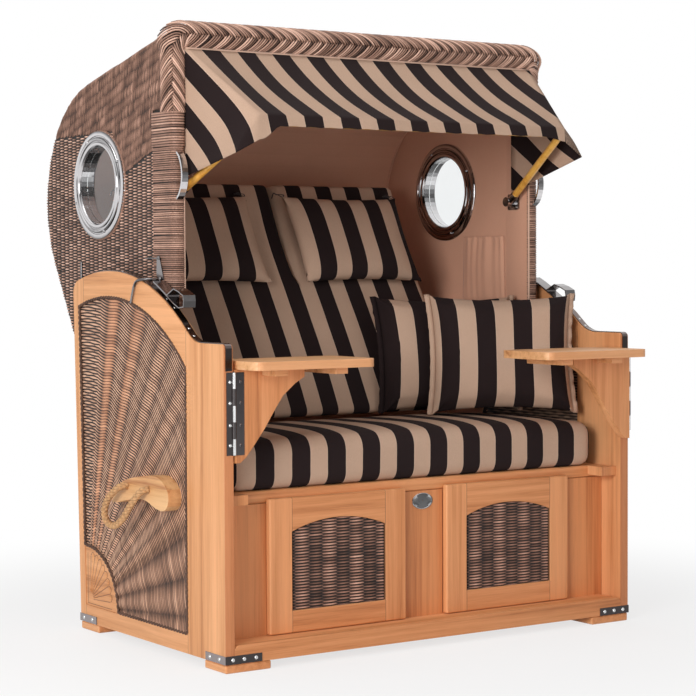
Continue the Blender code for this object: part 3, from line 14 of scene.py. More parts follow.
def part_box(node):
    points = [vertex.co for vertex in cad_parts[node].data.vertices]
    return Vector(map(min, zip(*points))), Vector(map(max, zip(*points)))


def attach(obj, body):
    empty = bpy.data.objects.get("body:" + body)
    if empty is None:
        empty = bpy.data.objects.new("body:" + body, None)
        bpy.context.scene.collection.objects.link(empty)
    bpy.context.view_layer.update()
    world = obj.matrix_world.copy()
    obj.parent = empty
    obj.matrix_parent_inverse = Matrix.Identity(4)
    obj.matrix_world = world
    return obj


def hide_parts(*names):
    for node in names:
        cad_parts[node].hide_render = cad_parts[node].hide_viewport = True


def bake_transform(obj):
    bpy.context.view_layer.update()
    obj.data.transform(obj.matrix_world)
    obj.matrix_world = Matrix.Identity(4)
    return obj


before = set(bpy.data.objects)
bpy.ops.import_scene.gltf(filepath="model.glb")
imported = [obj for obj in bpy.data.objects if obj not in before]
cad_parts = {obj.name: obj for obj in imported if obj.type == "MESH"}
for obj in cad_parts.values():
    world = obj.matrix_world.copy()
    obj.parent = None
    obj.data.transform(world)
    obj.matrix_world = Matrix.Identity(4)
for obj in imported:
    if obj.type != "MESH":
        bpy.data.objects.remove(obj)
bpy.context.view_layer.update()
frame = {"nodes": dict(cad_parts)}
nodes = frame["nodes"]
scene = bpy.context.scene

SHIFT_Y = -0.47979
# The gap left between pieces that lie on each other
CLEARANCE = 0.0003
SIDES = {"left": -1, "right": 1}

# Sizes of the chair that the pieces here share
HALF_WIDTH = 0.65
INNER_HALF = 0.624
HOOD_HALF = 0.6
POST_INNER = 0.569
LINING_INNER = 0.5737
RIM_Y = 0.33
RIM_REAR = 0.38
POST_REAR = 0.435
POST_FOOT = 0.89
RIM_LOW = 1.552
PORTHOLE = (0.737, 1.214)
STRIPE = 0.0557
DECK_TOP = 0.4315
HOOD_CENTRE = (0.64, 1.15)
AWNING_PIVOT = (0.4, 1.175)
AWNING_BAR = (0.0985, 1.35)
SIDE_UPRIGHTS = (0.185, 0.747)
FOOTREST_MIDDLE = 0.2755
FOOTREST_INNER = 0.143
PANEL_PITCH = 0.008


# Camera, at the photograph's place

def add_camera():
    yaw, pitch, roll = 0.5937, 0.0403, -0.0047
    ahead = Vector((math.sin(yaw) * math.cos(pitch), math.cos(yaw) * math.cos(pitch), -math.sin(pitch)))
    right = Vector((math.cos(yaw), -math.sin(yaw), 0))
    up = right.cross(ahead)
    across = right * math.cos(roll) + up * math.sin(roll)
    upright = up * math.cos(roll) - right * math.sin(roll)
    data = bpy.data.cameras.new("camera")
    data.sensor_width = 36
    data.lens = 104.313
    data.clip_end = 60
    camera = bpy.data.objects.new("camera", data)
    scene.collection.objects.link(camera)
    turn = Matrix((across, upright, -ahead)).transposed()
    camera.matrix_world = Matrix.Translation((-3.1222, -4.67979, 0.9894)) @ turn.to_4x4()
    scene.camera = camera


# Materials

class Value:
    """A node's output. Sums with it are Math nodes."""

    def __init__(self, nodes, socket):
        self.nodes, self.socket = nodes, socket

    def __add__(self, other):
        return self.nodes.math("ADD", self, other)

    def __sub__(self, other):
        return self.nodes.math("SUBTRACT", self, other)

    def __rsub__(self, other):
        return self.nodes.math("SUBTRACT", other, self)

    def __mul__(self, other):
        return self.nodes.math("MULTIPLY", self, other)

    def __truediv__(self, other):
        return self.nodes.math("DIVIDE", self, other)

    def __lt__(self, other):
        return self.nodes.math("LESS_THAN", self, other)

    def __gt__(self, other):
        return self.nodes.math("GREATER_THAN", self, other)

    def __abs__(self):
        return self.nodes.math("ABSOLUTE", self)


class Nodes:
    """Short ways to add nodes to a tree."""

    def __init__(self, tree):
        self.tree = tree

    def feed(self, socket, value):
        if isinstance(value, Value):
            self.tree.links.new(value.socket, socket)
        else:
            socket.default_value = value

    def node(self, kind, inputs=None, **settings):
        made = self.tree.nodes.new("ShaderNode" + kind)
        for key, value in settings.items():
            setattr(made, key, value)
        for key, value in (inputs or {}).items():
            self.feed(made.inputs[key], value)
        return made

    def read(self, kind, output, inputs=None, **settings):
        return Value(self, self.node(kind, inputs, **settings).outputs[output])

    def math(self, operation, *values):
        return self.read("Math", 0, dict(enumerate(values)), operation=operation)

    def parts(self, vector):
        made = self.node("SeparateXYZ", {"Vector": vector})
        return [Value(self, socket) for socket in made.outputs]

    def place_parts(self):
        return self.parts(self.read("TexCoord", "Object"))

    def way_parts(self):
        return self.parts(self.read("TexCoord", "Normal"))

    def seen(self):
        """1 where the camera looks straight, by a mirror or through glass."""
        path = self.node("LightPath").outputs
        camera, glossy, through = (Value(self, path[f"Is {kind} Ray"])
                                   for kind in ("Camera", "Glossy", "Transmission"))
        return self.math("MAXIMUM", self.math("MAXIMUM", camera, glossy), through)

    def ramp(self, factor, stops):
        made = self.node("ValToRGB", {"Fac": factor})
        elements = made.color_ramp.elements
        while len(elements) < len(stops):
            elements.new(0.5)
        for element, (place, colour) in zip(elements, stops):
            element.position = place
            element.color = (*colour, 1)
        return Value(self, made.outputs[0])

    def mix(self, factor, one, two, blend="MIX"):
        made = self.node("Mix", data_type="RGBA", blend_type=blend)
        self.feed(made.inputs[0], factor)
        for socket, value in ((made.inputs[6], one), (made.inputs[7], two)):
            self.feed(socket, value if isinstance(value, Value) else (*value, 1))
        return Value(self, made.outputs[2])

    def place(self, scale, offset=(0, 0, 0)):
        spot = self.read("TexCoord", "Object")
        return self.read("Mapping", 0, {"Vector": spot, "Scale": scale, "Location": offset})

    def noise(self, vector, scale=1.0, detail=3.0, rough=0.5, distortion=0.0):
        return self.read("TexNoise", "Fac", {"Vector": vector, "Scale": scale, "Detail": detail,
                                             "Roughness": rough, "Distortion": distortion})


class Shader(Nodes):
    """A material with one Principled shader."""

    def __init__(self, name, **inputs):
        self.material = bpy.data.materials.new(name)
        self.material.use_nodes = True
        super().__init__(self.material.node_tree)
        self.surface = self.tree.nodes["Principled BSDF"]
        self.set(**inputs)

    def set(self, **inputs):
        for key, value in inputs.items():
            self.feed(self.surface.inputs[key.replace("_", " ")], value)

    def bump(self, height, strength, distance=0.001):
        inputs = {"Height": height, "Strength": strength, "Distance": distance}
        self.set(Normal=self.read("Bump", 0, inputs))


def front_facing(made):
    """1 on faces that look forwards, which the wood darkens as painted shade."""
    return made.way_parts()[1] < -0.7


def wood(name, grain="y", pale=(0.8, 0.42, 0.2), mid=(0.66, 0.315, 0.13), deep=(0.42, 0.165, 0.055),
         offset=(0, 0, 0), joints=(), upright_where=None, shine=0.5, boards=None, front_where=None):
    """Oiled wood. grain is the way its fibres run. upright_where(shader) gives the mask of upright boards.
    boards is the axis and width of boards whose tones differ. front_where gives the mask of boards that get
    more painted shade."""
    made = Shader(name)
    along, wide = 1.6, 62.0

    def streaks(way, seed):
        scale = {"x": (along, wide, wide), "y": (wide, along, wide), "z": (wide, wide, along)}[way]
        where = made.place(scale, (offset[0] + seed, offset[1], offset[2] + seed))
        lines = made.noise(where, 1.0, 4.0, 0.62, 0.3)
        broad = made.noise(made.place([s * 0.16 for s in scale], offset), 1.0, 2.0, 0.5, 0.9)
        fine = made.noise(made.place([s * 7 for s in scale], offset), 1.0, 2.0, 0.6)
        tone = lines * 0.42 + broad * 0.42
        return tone + fine * 0.16, fine

    tone, fine = streaks(grain, 0.0)
    if upright_where:
        mask = upright_where(made)
        upright_tone, upright_fine = streaks("z", 3.7)
        rest = 1.0 - mask
        tone = rest * tone + mask * (upright_tone + 0.015)
        fine = rest * fine + mask * upright_fine
    spot = made.place_parts()
    if boards:
        axis, width = boards
        number = made.math("FLOOR", spot["xyz".index(axis)] / width)
        chance = made.read("TexWhiteNoise", "Value", {"W": number}, noise_dimensions="1D")
        tone = tone + (chance - 0.5) * 0.16
    colour = made.ramp(tone, [(0.35, deep), (0.45, mid), (0.56, pale),
                              (0.68, tuple(c * 1.12 for c in pale))])
    warm = made.noise(made.place((2.6, 2.6, 2.6), offset), 1.0, 2.0)
    colour = made.mix(warm * 0.6, colour, (1.0, 0.8, 0.64), "MULTIPLY")
    # Faces that look forwards get painted shade: their colour is multiplied darker.
    colour = made.mix(front_facing(made), colour, (0.93, 0.8, 0.72), "MULTIPLY")
    # The boards in the front mask get more painted shade.
    if front_where:
        colour = made.mix(front_where(made), colour, (0.84, 0.76, 0.74), "MULTIPLY")
    pores = fine > 0.66
    colour = made.mix(pores * 0.22, colour, deep)
    cells = {"Vector": made.place((4.3, 4.3, 4.3), offset), "Scale": 1.0}
    knot = made.read("TexVoronoi", "Distance", cells, feature="F1") < 0.016
    colour = made.mix(knot * 0.8, colour, (0.09, 0.035, 0.015))
    height = fine * 0.8 + pores * -0.5
    if joints:
        line = None
        for axis, value in joints:
            if axis == "y":
                value += SHIFT_Y
            here = abs(spot["xyz".index(axis)] - value) < 0.0007
            line = here if line is None else made.math("MAXIMUM", line, here)
        colour = made.mix(line * 0.75, colour, (0.1, 0.042, 0.018))
        height = height - line * 2.0
    made.set(Base_Color=colour, Roughness=fine * 0.18 + (shine - 0.09))
    made.bump(height, 0.22, 0.0006)
    return made.material


def wicker(name, tint=(1.0, 1.0, 1.0)):
    """Round strands: the tone attribute runs from dark brown to light beige, the warm one to tan. The tone
    holds the strands' own tones and their painted shade.
    """
    made = Shader(name)
    tone = made.read("Attribute", "Fac", attribute_name="tone")
    warm = made.read("Attribute", "Fac", attribute_name="warm")
    fine = made.noise(made.place((420, 420, 420)), 1.0, 2.0)
    broad = made.noise(made.place((14, 14, 14)), 1.0, 3.0, 0.6)
    value = tone + (fine - 0.5) * 0.26 + (broad - 0.5) * 0.34
    stops = [(0.0, (0.012, 0.007, 0.006)), (0.25, (0.052, 0.032, 0.025)), (0.5, (0.19, 0.122, 0.092)),
             (0.75, (0.42, 0.29, 0.225)), (1.0, (0.82, 0.64, 0.53))]
    colour = made.ramp(value, [(p, tuple(c * t for c, t in zip(colour, tint))) for p, colour in stops])
    colour = made.mix(warm, colour, (1.04, 0.86, 0.72), "MULTIPLY")
    made.set(Base_Color=colour, Roughness=fine * 0.25 + 0.38, Specular_IOR_Level=0.3)
    made.bump(fine, 0.2, 0.0004)
    return made.material


def panel_backing(name, side):
    """Behind the outer strands it is painted dark, as the shade in the gaps between them. Its inner face
    shows painted rows of strands, with painted shade between the rows, as the panel's back does.
    """
    made = Shader(name)
    spot = made.place_parts()
    way = made.way_parts()
    inner = way[0] * float(-side) > 0.5
    row = made.math("SINE", spot[2] * (2 * math.pi / PANEL_PITCH))
    stake = made.math("SINE", spot[1] * (2 * math.pi / 0.055))
    stake = stake * made.math("SINE", spot[2] * (math.pi / PANEL_PITCH))
    value = row * 0.3 + stake * 0.22 + made.noise(made.place((30, 30, 30)), 1.0, 3.0)
    rows = made.ramp(value, [(0.15, (0.02, 0.011, 0.008)), (0.5, (0.12, 0.07, 0.046)),
                             (0.85, (0.33, 0.21, 0.145))])
    made.set(Base_Color=made.mix(inner, (0.01, 0.006, 0.005), rows), Roughness=0.7)
    return made.material


def striped(name, start, dark_first=True, width=STRIPE):
    """Woven cloth with even stripes. The U of its map is the way across them in metres; start is an edge."""
    made = Shader(name, Sheen_Weight=0.0, Specular_IOR_Level=0.22, Roughness=0.92)
    across, along, _ = made.parts(made.read("UVMap", 0, uv_map="UVMap"))
    turns = (across - start) / (2 * width)
    share = made.math("FRACT", turns + (100.0 if dark_first else 100.5))
    dark = share < 0.515
    edge = (abs(share - 0.7575) > 0.2325) * (1.0 - dark)
    blotch = made.noise(made.place((7, 7, 7)), 1.0, 3.0)
    thread = made.noise(made.place((900, 900, 900)), 1.0, 1.0)
    beige = made.mix(blotch, (0.505, 0.335, 0.24), (0.59, 0.4, 0.292))
    black = made.mix(blotch, (0.0115, 0.0055, 0.0055), (0.02, 0.0105, 0.0105))
    colour = made.mix(dark, beige, black)
    colour = made.mix(edge * 0.65, colour, (0.7, 0.53, 0.42))
    worn = made.ramp(thread, [(0.2, (0.84, 0.84, 0.84)), (0.8, (1.1, 1.1, 1.1))])
    colour = made.mix(1.0, colour, worn, "MULTIPLY")
    made.set(Base_Color=colour)
    thread_turns = 2 * math.pi / 0.0021
    warp, weft = (made.math("SINE", way * thread_turns) for way in (across, along))
    height = warp * weft + thread * 1.2
    made.bump(height, 0.18, 0.0005)
    return made.material


def plain_cloth(name, colour, pale):
    """Woven cloth whose tone wanders between two colours."""
    made = Shader(name, Sheen_Weight=0.15, Roughness=0.9)
    blotch = made.noise(made.place((5, 5, 5)), 1.0, 3.0)
    thread = made.noise(made.place((850, 850, 850)), 1.0, 1.0)
    tint = made.mix(blotch, colour, pale)
    worn = made.ramp(thread, [(0.2, (0.9, 0.9, 0.9)), (0.8, (1.06, 1.06, 1.06))])
    made.set(Base_Color=made.mix(1.0, tint, worn, "MULTIPLY"))
    folds = made.noise(made.place((3.0, 3.0, 9.0)), 1.0, 2.0)
    made.bump(thread + folds * 14.0, 0.2, 0.0006)
    return made.material


def metal(name, colour=(0.8, 0.8, 0.81), rough=0.1, painted_reflections=True):
    """Polished steel. When asked, its colour is painted reflection: bands that follow the way a face looks,
    as a studio shows in chrome.
    """
    made = Shader(name, Metallic=1.0)
    smear = made.noise(made.place((60, 60, 60)), 1.0, 3.0)
    if painted_reflections:
        # Painted reflection: the base colour runs through bright and dark bands by the face's direction.
        way = made.way_parts()
        bend = way[2] * 0.4 + way[1] * -0.16
        value = bend + 0.5 + smear * 0.03
        stops = [(0.06, 0.16), (0.2, 0.55), (0.27, 0.1), (0.4, 0.22), (0.47, 0.8), (0.56, 0.92),
                 (0.61, 0.28), (0.72, 0.1), (0.8, 0.75), (0.9, 1.0)]
        made.set(Base_Color=made.ramp(value, [(p, tuple(c * v for c in colour)) for p, v in stops]))
    else:
        made.set(Base_Color=(*colour, 1))
    made.set(Roughness=smear * 0.12 + (rough - 0.04))
    made.bump(made.noise(made.place((35, 35, 35)), 1.0, 2.0), 0.03, 0.001)
    return made.material


def clear_glass(name):
    """Clear glass, a little uneven."""
    made = Shader(name, Base_Color=(0.96, 0.985, 0.99, 1), Roughness=0.02, Transmission_Weight=1.0, IOR=1.45)
    made.bump(made.noise(made.place((40, 40, 40)), 1.0, 2.0), 0.01, 0.0005)
    return made.material


def fibre(name, dark, pale):
    """Twisted plant fibre for the carrying ropes."""
    made = Shader(name)
    tone = made.read("Attribute", "Fac", attribute_name="tone")
    fine = made.noise(made.place((700, 700, 700)), 1.0, 3.0, 0.7)
    value = tone * 0.5 + fine * 0.6
    made.set(Base_Color=made.ramp(value, [(0.25, dark), (0.75, pale)]), Roughness=0.85)
    made.bump(fine, 0.5, 0.0006)
    return made.material


def above(made, axis, value):
    """1 where the given coordinate is over the value."""
    if axis == "y":
        value += SHIFT_Y
    return made.place_parts()["xyz".index(axis)] > value


def front_board(made):
    """1 on the side frame's front faces, which get painted shade."""
    return 1.0 - above(made, "y", 0.0035)


def side_frame_uprights(made):
    """1 on the side frame's front and rear stiles."""
    front = 1.0 - above(made, "y", SIDE_UPRIGHTS[0])
    rear = above(made, "y", SIDE_UPRIGHTS[1])
    return made.math("MAXIMUM", front, rear)


def footrest_uprights(middle):
    """Gives the mask of a footrest's two stiles."""
    def mask(made):
        return abs(made.place_parts()[0] - middle) > FOOTREST_INNER
    return mask


# Meshes

class Batch:
    """Points and four-cornered faces gathered for one mesh."""

    def __init__(self):
        self.points, self.faces, self.tones, self.maps, self.warms, self.count = [], [], [], [], [], 0

    def add(self, points, faces, tone=0.5, uv=None, warm=0.0):
        points = np.asarray(points, float).reshape(-1, 3)
        self.points.append(points)
        self.faces.append(np.asarray(faces, np.int64) + self.count)
        self.tones.append(even(tone, len(points)))
        self.warms.append(even(warm, len(points)))
        self.maps.append(np.zeros((len(points), 2)) if uv is None else np.asarray(uv, float))
        self.count += len(points)

    def make(self, name, body, material, sharp=None, slot=None):
        points = np.concatenate(self.points)
        faces = np.concatenate(self.faces)
        made = mesh_piece(name, points, faces, body, material, np.concatenate(self.tones),
                          np.concatenate(self.maps), sharp)
        layer = made.data.attributes.new("warm", "FLOAT", "POINT")
        layer.data.foreach_set("value", np.concatenate(self.warms).astype(np.float32))
        return made


def mesh_piece(name, points, faces, body, material, tone=None, uv=None, sharp=None):
    """A visible piece from points at the chair's places, which moves with a body of the frame."""
    points = np.array(points, float).reshape(-1, 3)
    points[:, 1] += SHIFT_Y
    mesh = bpy.data.meshes.new(name)
    if isinstance(faces, np.ndarray):
        count, sides = faces.shape
        mesh.vertices.add(len(points))
        mesh.vertices.foreach_set("co", points.astype(np.float32).ravel())
        mesh.loops.add(count * sides)
        mesh.loops.foreach_set("vertex_index", faces.astype(np.int32).ravel())
        mesh.polygons.add(count)
        mesh.polygons.foreach_set("loop_start", np.arange(0, count * sides, sides, dtype=np.int32))
        mesh.update(calc_edges=True)
    else:
        mesh.from_pydata(points.tolist(), [], faces)
        mesh.update()
    if tone is not None:
        made = mesh.attributes.new("tone", "FLOAT", "POINT")
        made.data.foreach_set("value", np.asarray(tone, np.float32))
    if uv is not None:
        corners = np.zeros(len(mesh.loops), np.int32)
        mesh.loops.foreach_get("vertex_index", corners)
        layer = mesh.uv_layers.new(name="UVMap")
        layer.data.foreach_set("uv", np.asarray(uv, np.float32)[corners].ravel())
    mesh.polygons.foreach_set("use_smooth", np.ones(len(mesh.polygons), bool))
    if sharp:
        mesh.set_sharp_from_angle(angle=math.radians(sharp))
    mesh.materials.append(material)
    made = bpy.data.objects.new(name, mesh)
    scene.collection.objects.link(made)
    if body:
        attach(made, body)
    return made


def thicken(made, thickness, offset):
    """Gives a sheet its thickness."""
    step = made.modifiers.new("thickness", "SOLIDIFY")
    step.thickness = thickness
    step.offset = offset


def unit(v):
    """Directions made one long."""
    v = np.asarray(v, float)
    return v / np.maximum(np.linalg.norm(v, axis=-1, keepdims=True), 1e-12)


def even(value, count):
    """One number, or one for each of count points, as count numbers."""
    return np.broadcast_to(np.asarray(value, float), (count,))


def circle(count):
    return np.linspace(0, 2 * math.pi, count, endpoint=False)


def net(rows, columns, wrap=False):
    """Faces between rows of points, and from each row's end to its start if it wraps."""
    i = np.arange(rows - 1)[:, None] * columns
    k = np.arange(columns if wrap else columns - 1)[None, :]
    after = (k + 1) % columns
    return np.stack([i + k, i + after, i + columns + after, i + columns + k], -1).reshape(-1, 4)


# Picks a face's corners in the other order, from the same first one
REVERSED = [0, 3, 2, 1]


def tube(line, radius, sides=10, closed=False, squash=1.0):
    """Points and faces of a round tube along a line, its ends closed by a small cap."""
    line = np.asarray(line, float)
    count = len(line)
    ahead = unit(np.roll(line, -1, 0) - np.roll(line, 1, 0) if closed else np.gradient(line, axis=0))
    side = np.cross(ahead[0], (0.31, 0.17, 0.93))
    rings = []
    radii = even(radius, count)
    turns = circle(sides)
    for here, way, r in zip(line, ahead, radii):
        side = unit(side - way * (side @ way))
        other = np.cross(way, side)
        flat = squash * np.sin(turns)[:, None] * other
        rings.append(here + r * (np.cos(turns)[:, None] * side + flat))
    points = np.concatenate(rings)
    faces = (net(count + closed, sides, True) % (count * sides)).tolist()
    if not closed:
        points = np.concatenate([points, line[:1], line[-1:]])
        start, end = len(points) - 2, len(points) - 1
        for k in range(0, sides, 2):
            faces.append((start, (k + 2) % sides, (k + 1) % sides, k))
            base = (count - 1) * sides
            faces.append((end, base + k, base + (k + 1) % sides, base + (k + 2) % sides))
    return points, np.array(faces)


def smooth_line(points, steps):
    """A smooth line through the points, with some steps between each two."""
    rows = [np.array(p, float) for p in points]
    rows = [2 * rows[0] - rows[1]] + rows + [2 * rows[-1] - rows[-2]]
    line = []
    for i in range(1, len(rows) - 2):
        a, b, c, d = rows[i - 1:i + 3]
        for k in range(steps):
            t = k / steps
            line.append(b + (c - a) * t / 2 + (2 * a - 5 * b + 4 * c - d) * t ** 2 / 2
                        + (3 * b - a - 3 * c + d) * t ** 3 / 2)
    line.append(rows[-2])
    return np.array(line)


def resampled(line, step):
    """The same line with points an even step apart, and the length to each."""
    line = np.asarray(line, float)
    reach = np.concatenate([[0], np.cumsum(np.linalg.norm(np.diff(line, axis=0), axis=1))])
    count = max(2, int(round(reach[-1] / step)) + 1)
    want = np.linspace(0, reach[-1], count)
    return np.stack([np.interp(want, reach, line[:, k]) for k in range(line.shape[1])], 1), want


def shell_faces(last, vertex):
    """Faces of a box's six sides, last steps long; vertex gives the number of the point at three steps."""
    faces = []
    for axis in range(3):
        one, two = [n for n in range(3) if n != axis]
        for end in (0, last[axis]):
            for a in range(last[one]):
                for b in range(last[two]):
                    corners = []
                    for da, db in ((0, 0), (1, 0), (1, 1), (0, 1)):
                        key = [0, 0, 0]
                        key[axis], key[one], key[two] = end, a + da, b + db
                        corners.append(vertex(tuple(key)))
                    faces.append(corners if (end > 0) == (axis != 1) else corners[::-1])
    return faces


def block(low, high, soft=0.0015):
    """Points and faces of a box whose edges are cut by a small slant."""
    low, high = np.array(low, float), np.array(high, float)
    middle, half = (low + high) / 2, (high - low) / 2
    lines = [np.array([-h, -h + min(soft, h * 0.5), h - min(soft, h * 0.5), h]) for h in half]
    index, points = {}, []
    inner = [line[2] for line in lines]

    def vertex(key):
        if key not in index:
            raw = np.array([lines[n][key[n]] for n in range(3)])
            core = np.clip(raw, [-v for v in inner], inner)
            out = raw - core
            length = np.linalg.norm(out)
            edge = np.abs(out).max() if length else 0
            index[key] = len(points)
            points.append(middle + (core + out / length * edge if length else raw))
        return index[key]

    faces = shell_faces((3, 3, 3), vertex)
    return np.array(points), np.array(faces)


def dome(place, out, radius, height, sides=14, rings=4, slot=True):
    """A screw head: a round dome with a flat rim, on a face whose outward direction is out."""
    out = unit(out)
    side = unit(np.cross(out, (0.3, 0.5, 0.81)))
    other = np.cross(out, side)
    points = []
    turns = circle(sides)
    for k in range(rings + 1):
        angle = math.pi / 2 * k / rings
        r = radius * math.cos(angle) if k < rings else radius * 0.06
        h = height * math.sin(angle)
        for turn in turns:
            dip = 0.35 * height if slot and k >= rings - 1 else 0
            points.append(np.array(place) + out * (h - dip) + r
                          * (math.cos(turn) * side + math.sin(turn) * other))
    return np.array(points), net(rings + 1, sides, True)


def tree_of(name):
    """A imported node's faces, for rays."""
    mesh = nodes[name].data
    points = [v.co.copy() for v in mesh.vertices]
    return BVHTree.FromPolygons(points, [tuple(p.vertices) for p in mesh.polygons])


def hit(tree, point, way):
    """Where a ray from a chair place meets a node: place and outward direction in the chair's places."""
    start = Vector((point[0], point[1] + SHIFT_Y, point[2]))
    place, normal, _, _ = tree.ray_cast(start, Vector(way))
    if place is None:
        return None
    if normal.dot(Vector(way)) > 0:
        normal = -normal
    return np.array((place.x, place.y - SHIFT_Y, place.z)), np.array(normal)


# Woven strands

def ribbon(batch, line, normals, width, height, tone, lift=0.0, warm=0.0):
    """One strand: a low arch of three faces across, lying on a line with outward directions."""
    line, normals = np.asarray(line, float), unit(normals)
    if len(line) < 2:
        return
    ahead = unit(np.gradient(line, axis=0))
    across = unit(np.cross(ahead, normals))
    base = line + normals * even(lift, len(line))[:, None]
    width = even(width, len(line))[:, None]
    height = even(height, len(line))[:, None]
    # The tone is lowered at the strand's two edges as painted shade, and raised a little on its top as a
    # faint painted highlight.
    shares, rises, shades = (-0.5, -0.22, 0.22, 0.5), (0.0, 0.86, 0.86, 0.0), (-0.46, 0.04, 0.04, -0.46)
    rows = [base + across * width * s + normals * height * r for s, r in zip(shares, rises)]
    points = np.stack(rows, 1).reshape(-1, 3)
    faces = net(len(line), 4)
    tones = np.repeat(even(tone, len(line)), 4) + np.tile(shades, len(line))
    warms = np.repeat(even(warm, len(line)), 4)
    batch.add(points, faces[:, ::-1], tones, warm=warms)


def dashes(batch, lines, normals, width, height, tones, lifts):
    """Many short strands at once: lines and normals are (strands, points, 3), tones (strands, points),
    lifts one for each of a strand's points."""
    if not len(lines):
        return
    normals = unit(normals)
    ahead = unit(np.gradient(lines, axis=1) + 1e-9)
    across = unit(np.cross(ahead, normals))
    base = lines + normals * lifts[..., None]
    rows = [base + across * width * s + normals * height * r
            for s, r in ((-0.5, 0.0), (0.0, 1.0), (0.5, 0.0))]
    points = np.stack(rows, 2)
    strands, count = lines.shape[:2]
    faces = (np.arange(strands)[:, None, None] * count * 3 + net(count, 3)).reshape(-1, 4)
    # Each strand's edges get painted shade, and its ridge a faint painted highlight.
    shade = np.repeat(tones[..., None], 3, -1) + np.array((-0.3, 0.06, -0.3))
    batch.add(points.reshape(-1, 3), faces[:, ::-1], shade.reshape(-1))


def arch(q):
    """A strand's rise from its ends at -1 and 1 to its middle."""
    return np.cos(math.pi / 2 * q)


def strand_tones(numbers, count, rise, mean, spread, gain, loss, groups=0.0):
    """Tones of many strands, each brighter at its middle and darker at its ends, where it dips under, as
    painted shade.
    """
    return (mean + groups + numbers.normal(0, spread, count))[:, None] + gain * rise - loss


# Mean, spread, gain and loss of the tone in the open and the close weave; the gain and loss paint shade on
# the strands' ends
OPEN_TONES, CLOSE_TONES = (0.81, 0.11, 0.62, 0.48), (0.58, 0.07, 0.2, 0.13)


def clipped(lines, normals, inside, extra):
    """Draws the points of each strand that lie outside in to the ends of its first run inside."""
    keep = inside.sum(1) >= 3
    lines, normals, inside, extra = lines[keep], normals[keep], inside[keep], extra[keep]
    first = inside.argmax(1)
    after = np.arange(inside.shape[1])[None, :] >= first[:, None]
    last = first + np.cumprod(np.where(after, inside, True), 1).sum(1) - first - 1
    keep = last - first >= 2
    lines, normals, extra, first, last = lines[keep], normals[keep], extra[keep], first[keep], last[keep]
    k = np.clip(np.arange(lines.shape[1])[None, :], first[:, None], last[:, None])
    rows = np.arange(len(lines))[:, None]
    return lines[rows, k], normals[rows, k], extra[rows, k]


def runs_of(values, place_of):
    """Splits a row's samples where place_of gives nothing, and finds each run's ends more closely."""
    found = [(v, place_of(v)) for v in values]
    runs, here = [], []
    for k, (v, spot) in enumerate(found):
        if spot is None:
            if here:
                here.append(closer(here[-1], v, place_of))
                runs.append([h for h in here if h])
            here = []
            continue
        if not here and k:
            here.append(closer((v, spot), found[k - 1][0], place_of))
        here.append((v, spot))
    if here:
        runs.append([h for h in here if h])
    return [run for run in runs if len(run) > 2]


def closer(inside, outside, place_of):
    """The last value with a place between one inside and one outside, by halving."""
    low, high, best = inside[0], outside, None
    for _ in range(4):
        middle = (low + high) / 2
        spot = place_of(middle)
        if spot is None:
            high = middle
        else:
            low, best = middle, (middle, spot)
    return best


# Hood: woven sides, back and roof

# Widths of the weaves' bands and stakes, and the pitch of the open weave's rows
CLOSE_BAND, OPEN_PITCH, BACK_STAKE = 0.0262, 0.004, 0.0262
# An open weave strand's width and height, how far its ends lie under the shell's face, and its rise
OPEN_STRAND, OPEN_LIFT, OPEN_RISE = (0.0041, 0.0012), -0.0016, 0.0036
# The open weave's lowest row, and the close weave's first strand behind the rim
HOOD_FOOT, SHELL_FRONT = 0.362, 0.362


def dense_limit(y):
    """The height where the close weave of the hood's upper side begins."""
    if y < 0.66:
        return 1.293 + (y - 0.435) * (1.235 - 1.293) / 0.165
    return 1.352


def porthole_cord(side_name, side):
    """Two strands twisted round the edge of the weave at a porthole."""
    turns, cord = circle(150), Batch()
    for strand in range(2):
        twist = turns * 46 + math.pi * strand
        r = 0.1455 + 0.0022 * np.cos(twist)
        x = side * (HOOD_HALF + 0.0016 + 0.002 * np.sin(twist))
        line = np.stack([x, PORTHOLE[0] + r * np.cos(turns), PORTHOLE[1] + r * np.sin(turns)], 1)
        cord.add(*tube(line, 0.003, 5, closed=True), 0.62)
    cord.make(side_name + "_porthole_cord", "hood", WICKER, slot="wicker")


